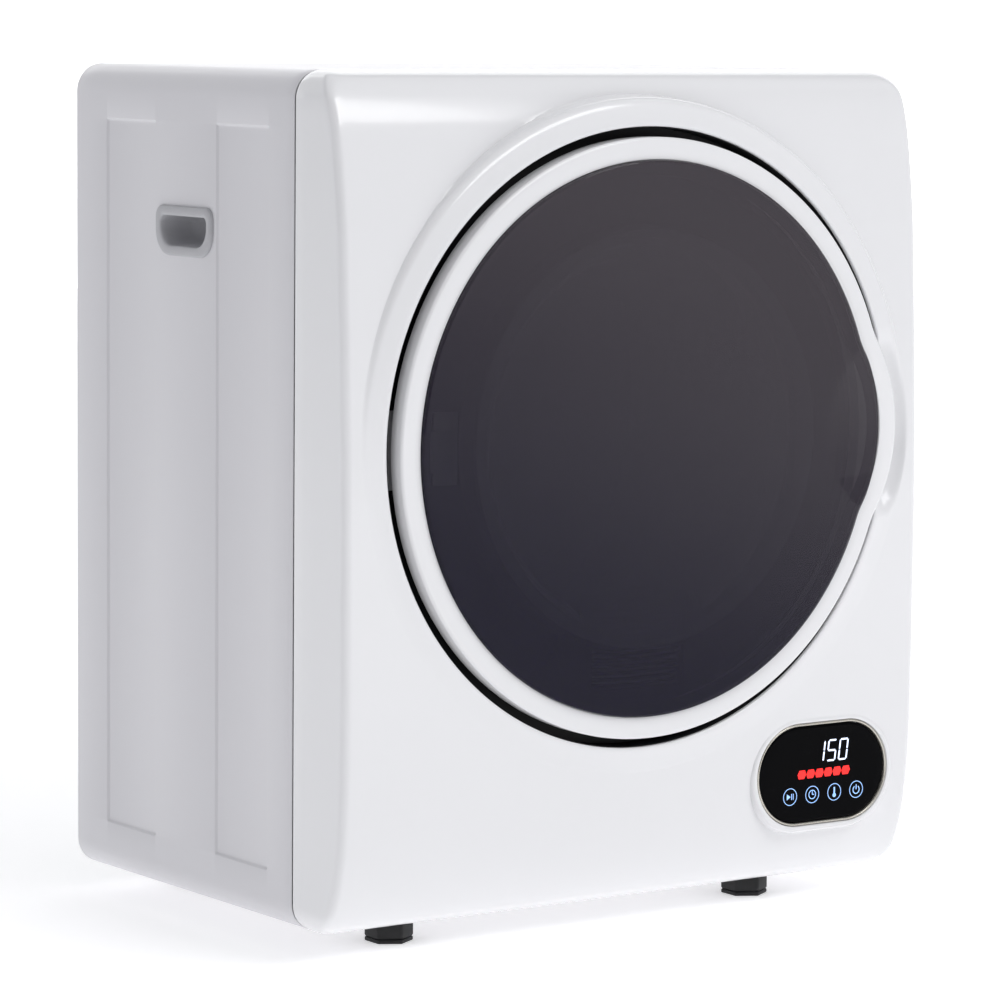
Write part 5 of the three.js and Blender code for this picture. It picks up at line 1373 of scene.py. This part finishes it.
def lint_mesh():
    """The filter's woven screen: crossed wires, drawn coarser than the real cloth."""
    low, high = LINT_SCREEN
    y = (low.y + high.y) / 2
    wires = []
    for i in range(33):
        x = low.x + (high.x - low.x) * i / 32
        wires.append(box_mesh((x - 0.2 * MM, y, low.z), (x + 0.2 * MM, y + 0.3 * MM, high.z)))
    for i in range(27):
        z = low.z + (high.z - low.z) * i / 26
        wires.append(box_mesh((low.x, y - 0.3 * MM, z - 0.2 * MM), (high.x, y, z + 0.2 * MM)))
    return gather(wires)


def sealing_ring():
    inner, outer = SEAL[1].x - 7 * MM, SEAL[1].x
    y0, y1 = SEAL[0].y, SEAL[1].y
    middle = (inner + outer) / 2
    profile = [(inner, y0), (outer, y0), (outer, y0 + 1.2 * MM), (middle + 1.5 * MM, y1),
               (middle - 1.5 * MM, y1), (inner, y0 + 1.2 * MM)]
    return soften(turned(profile, AXIS, 160), 0.3 * MM, 2)


class BuildDoor(bpy.types.Operator):
    """Makes the door's ring, smoked pane, inner dish, frame and seal"""

    bl_idname = "dryer.door"
    bl_label = "Door"

    def execute(self, context):
        scene = context.scene
        sizes = scene.dryer_sizes
        finish = finishes(scene.dryer_colours)
        make_piece(door_rim(sizes), "door_rim", "door", finish["white_gloss"],
                   ["door_ring"], 40)
        make_piece(smoked_pane(sizes), "smoked_pane", "door", finish["smoked_pane"],
                   ["door_pane"], 4.5)
        make_piece(pane_border(), "pane_border", "door", finish["print"], [], 30)
        make_piece(inner_dish(), "inner_dish", "door", finish["clear_dish"],
                   ["door_inner_dish"], 30)
        make_piece(inner_frame(), "inner_frame", "door", finish["print"],
                   ["door_back_frame"], 30)
        make_piece(sealing_ring(), "sealing_ring", "door", finish["rubber"],
                   ["door_seal"], 30)
        make_piece(lint_grille(), "lint_grille", "lint_filter",
                   finish["dark_plastic"], ["lint_frame"], 30)
        make_piece(lint_mesh(), "lint_mesh", "lint_filter", finish["stainless"],
                   ["lint_screen"], 30)
        return {"FINISHED"}


# ---- Drum and throat ----


def drum_wall():
    neck = 199.4 * MM
    outer = SHELL[1].x
    wall = 1.4 * MM
    front, rear = SHELL[0].y, SHELL[1].y
    shoulder = front + 14 * MM
    outside = [(neck + wall, front), (neck + wall, shoulder), (outer, shoulder + 10 * MM)]
    inside = []
    ribs = 9
    first, last = shoulder + 26 * MM, rear - 14 * MM
    for i in range(ribs):
        y = first + (last - first) * i / (ribs - 1)
        for shift, drop in ((-4, 0), (-2, 0.9), (2, 0.9), (4, 0)):
            inside.append((outer - wall - drop * MM, y + shift * MM))
    inside.reverse()
    profile = outside + [(outer, rear), (outer - wall, rear)] + inside
    profile += [(outer - wall, shoulder + 10.8 * MM), (neck, shoulder + 0.8 * MM), (neck, front)]
    return soften(turned(profile, AXIS, 180), 0.4 * MM, 2)


def drum_end():
    low, high = DRUM_BACK
    radius = high.x
    y0, y1 = low.y, high.y
    profile = [
        (10.3 * MM, y0), (60 * MM, y0), (66 * MM, y0 + 1.0 * MM), (122 * MM, y0 + 1.0 * MM),
        (128 * MM, y0), (radius, y0), (radius, y1), (10.3 * MM, y1),
    ]
    disc = turned(profile, AXIS, 180)
    holes = []
    for i in range(12):
        a = math.tau * i / 12
        place = (92 * MM * math.sin(a), Z_AXIS + 92 * MM * math.cos(a))
        holes.append(rod_mesh(14 * MM, y0 - 2 * MM, y1 + 2 * MM, place, 40))
    return soften(cut_away(disc, holes), 0.3 * MM, 1, 40)


def lifter_blade(index):
    low, high = LIFTER
    foot = low.z - Z_AXIS
    height = high.z - low.z
    rows = 11
    rings = []
    for i in range(rows):
        t = i / (rows - 1)
        half = 20 * MM * (1 - t) + 8 * MM * t
        half -= 3.0 * MM * math.sin(math.pi * t)
        inset = 5 * MM * t * t
        z = foot + height * t
        y0, y1 = low.y + inset, high.y - inset * 0.3
        ring = [Vector((half, y, z)) for y in spread(y0, y1, 12)]
        ring += [Vector((-half, y, z)) for y in spread(y1, y0, 12)]
        rings.append(ring)
    mesh = soften(loft(rings, True, True), 2.2 * MM, 3, 45)
    turn = Matrix.Rotation(math.tau * index / 3, 4, "Y")
    bmesh.ops.transform(mesh, matrix=Matrix.Translation((0, 0, Z_AXIS)) @ turn, verts=mesh.verts)
    return mesh


THROAT_WALL = 2.5 * MM
THROAT_FLANGE = 196 * MM
THROAT_CONE = 14 * MM
VENT_SLOTS = 13
VENT_PITCH = 8 * MM


def throat_ring():
    low, high = THROAT
    wall, flange = THROAT_WALL, THROAT_FLANGE
    inner = DISH[1].x - 5.6 * MM
    front, back = low.y - 2 * MM, low.y + 4 * MM
    cone = low.y + THROAT_CONE
    flange_front = Y_SEAM - 1 * MM
    profile = [
        (inner, low.y), (high.x, low.y), (high.x, low.y + wall), (inner + wall, low.y + wall),
        (inner + wall, cone - 1 * MM), (flange, flange_front - 1 * MM), (flange, high.y),
        (flange - wall, high.y), (flange - wall, flange_front), (inner, cone),
    ]
    mesh = soften(turned(profile, AXIS, 180), 0.8 * MM, 3)
    tools = []
    for i in range(VENT_SLOTS):
        x = (i - VENT_SLOTS // 2) * VENT_PITCH
        tools.append(box_mesh(
            (x - 2.6 * MM, front, Z_AXIS - 205 * MM), (x + 2.6 * MM, back, Z_AXIS - 189 * MM)
        ))
    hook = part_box("latch_hook")
    tools.append(box_mesh(
        (hook[0].x, front, Z_AXIS - 12 * MM), (hook[1].x + 1 * MM, back, Z_AXIS + 12 * MM)
    ))
    tools.append(rod_mesh(3.5 * MM, front, back, middle_of(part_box("door_plunger")), 32))
    return cut_away(mesh, tools)


def felt_band():
    inner, outer = FELT[1].x - 1.9 * MM, FELT[1].x
    y0, y1 = FELT[0].y, FELT[1].y
    profile = [(inner, y0), (outer, y0), (outer, y1), (inner, y1)]
    return soften(turned(profile, AXIS, 160), 0.4 * MM, 2)


class BuildDrum(bpy.types.Operator):
    """Makes the drum, its lifters and the throat that it turns on"""

    bl_idname = "dryer.drum"
    bl_label = "Drum and throat"

    def execute(self, context):
        finish = finishes(context.scene.dryer_colours)
        make_piece(drum_wall(), "drum_wall", "drum", finish["stainless"],
                   ["drum_shell"], 30)
        make_piece(drum_end(), "drum_end", "drum", finish["stainless"],
                   ["drum_back"], 30)
        for i in range(3):
            make_piece(lifter_blade(i), f"lifter_blade_{i + 1}", "drum",
                       finish["white_plastic"], [f"drum_lifter_{i + 1}"], 40)
        make_piece(throat_ring(), "throat_ring", "casing",
                   finish["white_plastic"], ["drum_throat"], 30)
        make_piece(felt_band(), "felt_band", "casing", finish["felt"], ["felt_seal"], 30)
        return {"FINISHED"}


# ---- Rear and works ----


def exhaust_spigot():
    centre = middle_of(COLLAR)
    flange = (COLLAR[1].x - COLLAR[0].x) / 2
    outer = flange - 10 * MM
    inner = outer - 2.5 * MM
    y0, y1 = COLLAR[0].y, COLLAR[1].y
    profile = [(inner, y0), (flange, y0), (flange, y0 + 2 * MM), (outer, y0 + 2 * MM)]
    for y in (y1 - 14 * MM, y1 - 8 * MM):
        for shift, rise in ((-1.2, -0.5), (-0.4, 0), (0.4, 0), (1.2, -0.5)):
            profile.append((outer + rise * MM, y + shift * MM))
    profile += [(outer - 0.5 * MM, y1), (inner, y1)]
    return soften(turned(profile, centre, 128), 0.3 * MM, 2)


def duct_tube():
    centre = middle_of(DUCT)
    outer = (DUCT[1].x - DUCT[0].x) / 2
    y0, y1 = DUCT[0].y, DUCT[1].y
    profile = [(outer - 2 * MM, y0), (outer, y0), (outer, y1), (outer - 2 * MM, y1)]
    return turned(profile, centre, 128)


def inlet_gland():
    centre = middle_of(GLAND)
    y0, y1 = GLAND[0].y, GLAND[1].y
    inside, rear = REAR[0].y - 0.3 * MM, REAR[1].y
    profile = [
        (4 * MM, y0), (11 * MM, y0), (11 * MM, inside), (8.7 * MM, inside),
        (8.7 * MM, rear + 0.3 * MM), (12 * MM, rear + 0.3 * MM), (11.6 * MM, rear + 2.4 * MM),
        (10 * MM, y1), (4 * MM, y1),
    ]
    return soften(turned(profile, centre, 64), 0.4 * MM, 2)


def rear_screws():
    """Domed cross-head screws that hold the rear panel."""
    places = []
    for x in (-228, -80, 80, 228):
        places.append((x * MM, Z_TOP - 14 * MM))
    for x in (-228, 60, 228):
        places.append((x * MM, Z_BOTTOM + 14 * MM))
    for z in (170, 320, 470):
        places += [(-236 * MM, z * MM), (236 * MM, z * MM)]
    heads = []
    for place in places:
        base = REAR[1].y + 0.02 * MM
        profile = [(0, base + 2.2 * MM), (1.8 * MM, base + 2.1 * MM), (3.3 * MM, base + 1.5 * MM),
                   (4.1 * MM, base + 0.5 * MM), (4.2 * MM, base), (0, base)]
        head = turned(profile, place, 20, False)
        slots = []
        for w, h in ((2.4, 0.35), (0.35, 2.4)):
            slots.append(box_mesh(
                (place[0] - w * MM, base + 1.2 * MM, place[1] - h * MM),
                (place[0] + w * MM, base + 3 * MM, place[1] + h * MM),
            ))
        heads.append(cut_away(head, slots))
    return gather(heads)


class BuildRear(bpy.types.Operator):
    """Makes the exhaust, the inlet gland and the rear panel's screws"""

    bl_idname = "dryer.rear"
    bl_label = "Rear"

    def execute(self, context):
        finish = finishes(context.scene.dryer_colours)
        make_piece(exhaust_spigot(), "exhaust_spigot", "casing",
                   finish["dark_plastic"], ["exhaust_collar"], 30)
        make_piece(duct_tube(), "duct_tube", "casing", finish["zinc_steel"],
                   ["exhaust_duct"], 30)
        make_piece(inlet_gland(), "inlet_gland", "casing", finish["dark_plastic"],
                   ["cord_gland"], 30)
        make_piece(rear_screws(), "rear_screws", "casing", finish["zinc_steel"],
                   [], 30)
        return {"FINISHED"}


class FinishWorks(bpy.types.Operator):
    """Gives every piece that keeps its plain shape the finish of its slot"""

    bl_idname = "dryer.works"
    bl_label = "Works"

    def execute(self, context):
        finish = finishes(context.scene.dryer_colours)
        slots = {entry["node"]: entry["material_slot"] for entry in frame["record"]["subparts"]}
        for name, node in frame["nodes"].items():
            node.data.materials.clear()
            node.data.materials.append(finish[slots[name]])
        return {"FINISHED"}


# ---- Studio ----


def softbox(name, place, aim, size, power, shade="#ffffff"):
    light = bpy.data.lights.new(name, "AREA")
    light.shape = "RECTANGLE"
    light.size, light.size_y = size
    light.energy = power
    light.color = linear(shade)[:3]
    lamp = bpy.data.objects.new(name, light)
    lamp.location = place
    lamp.rotation_euler = (Vector(aim) - Vector(place)).to_track_quat("-Z", "Y").to_euler()
    bpy.context.scene.collection.objects.link(lamp)


def stage_sheet(name, size, matrix, shade, glow):
    """A large matt sheet with an even glow of its own, as the floor or the backdrop."""
    mesh = bmesh.new()
    bmesh.ops.create_grid(mesh, x_segments=1, y_segments=1, size=0.5)
    bmesh.ops.scale(mesh, vec=(size[0], size[1], 1.0), verts=mesh.verts)
    bmesh.ops.transform(mesh, matrix=matrix, verts=mesh.verts)
    sheet = loose_object(mesh, name)
    material, _, shader = shader_of(f"matt paper of the {name}")
    shader.inputs["Base Color"].default_value = shade
    shader.inputs["Roughness"].default_value = 0.9
    shader.inputs["Specular IOR Level"].default_value = 0.1
    shader.inputs["Emission Color"].default_value = (1, 1, 1, 1)
    shader.inputs["Emission Strength"].default_value = glow
    sheet.data.materials.append(material)


def studio_world():
    """Even white light from all round, with a darker part of the room towards the front left."""
    world = bpy.data.worlds.new("studio")
    world.use_nodes = True
    tree = world.node_tree
    place = add_node(tree, "ShaderNodeTexCoord")
    dark_side = Vector((-0.57, -0.82, 0.05)).normalized()
    facing = add_node(
        tree, "ShaderNodeVectorMath", {0: place.outputs["Generated"], 1: dark_side},
        operation="DOT_PRODUCT",
    )
    strength = add_node(
        tree, "ShaderNodeMapRange",
        {"Value": facing.outputs["Value"], "From Min": 0.55, "From Max": 0.97,
         "To Min": 0.5, "To Max": 0.0},
        interpolation_type="SMOOTHSTEP",
    )
    background = tree.nodes["Background"]
    background.inputs["Color"].default_value = linear("#f6f7fb")
    tree.links.new(strength.outputs["Result"], background.inputs["Strength"])
    return world


class BuildStudio(bpy.types.Operator):
    """Makes the pale floor, the soft lights and the camera"""

    bl_idname = "dryer.studio"
    bl_label = "Studio"

    def execute(self, context):
        scene = context.scene
        shade = scene.dryer_colours.floor
        stage_sheet("studio_floor", (60, 60), Matrix.Identity(4), shade, 0.4)
        turn = Matrix.Rotation(math.radians(-35), 4, "Z") @ Matrix.Rotation(math.pi / 2, 4, "X")
        stage_sheet(
            "studio_backdrop", (9, 6), Matrix.Translation((4.0, 5.7, 3.0)) @ turn, shade, 0.9
        )
        scene.world = studio_world()
        softbox("overhead", (0.1, -0.2, 2.6), (0, 0, 0.3), (3.2, 3.2), 12)
        softbox("front_key", (1.2, -3.4, 3.0), (0, -0.1, 0.35), (2.4, 1.8), 58)
        softbox("rear_fill", (-0.8, 3.0, 1.6), (0, 0, 0.3), (2.4, 2.0), 8)
        self.place_camera(scene)
        scene.view_settings.view_transform = "Standard"
        return {"FINISHED"}

    def place_camera(self, scene):
        turn, tilt, lean = (math.radians(v) for v in (35.056, 6.298, 0.512))
        ahead = Vector((
            math.sin(turn) * math.cos(tilt), math.cos(turn) * math.cos(tilt), -math.sin(tilt)
        ))
        right = Vector((math.cos(turn), -math.sin(turn), 0))
        up = right.cross(ahead)
        across = right * math.cos(lean) + up * math.sin(lean)
        upward = up * math.cos(lean) - right * math.sin(lean)
        camera = bpy.data.cameras.new("camera")
        camera.lens = scene.dryer_sizes.camera_lens / MM
        camera.sensor_width = 36
        camera.clip_start, camera.clip_end = 0.1, 100
        view = bpy.data.objects.new("camera", camera)
        place = Matrix((across, upward, -ahead)).transposed().to_4x4()
        place.translation = Vector((-1.8453, -2.6443, 0.6452))
        view.matrix_world = place
        scene.collection.objects.link(view)
        scene.camera = view


# ---- Add-on ----

BUILDERS = [
    FinishWorks, BuildCabinet, BuildSideGrips, BuildFeet, BuildFront, BuildControls, BuildDoor,
    BuildDrum, BuildRear, BuildStudio,
]


class DryerPanel(bpy.types.Panel):
    """Lists the steps that build the dryer"""

    bl_idname = "DRYER_PT_steps"
    bl_label = "Clothes dryer"
    bl_space_type = "VIEW_3D"
    bl_region_type = "UI"
    bl_category = "Dryer"

    def draw(self, context):
        column = self.layout.column()
        for builder in BUILDERS:
            column.operator(builder.bl_idname)
        for group in (context.scene.dryer_sizes, context.scene.dryer_colours):
            for name in group.bl_rna.properties.keys():
                if name not in ("rna_type", "name"):
                    column.prop(group, name)


CLASSES = [DryerSizes, DryerColours, *BUILDERS, DryerPanel]


def register():
    for item in CLASSES:
        bpy.utils.register_class(item)
    bpy.types.Scene.dryer_sizes = PointerProperty(type=DryerSizes)
    bpy.types.Scene.dryer_colours = PointerProperty(type=DryerColours)


def unregister():
    del bpy.types.Scene.dryer_colours
    del bpy.types.Scene.dryer_sizes
    for item in reversed(CLASSES):
        bpy.utils.unregister_class(item)


def main():
    register()
    bpy.ops.dryer.works()
    bpy.ops.dryer.cabinet()
    bpy.ops.dryer.side_grips()
    bpy.ops.dryer.feet()
    bpy.ops.dryer.front()
    bpy.ops.dryer.controls()
    bpy.ops.dryer.door()
    bpy.ops.dryer.drum()
    bpy.ops.dryer.rear()
    bpy.ops.dryer.studio()


if __name__ == "__main__":
    main()
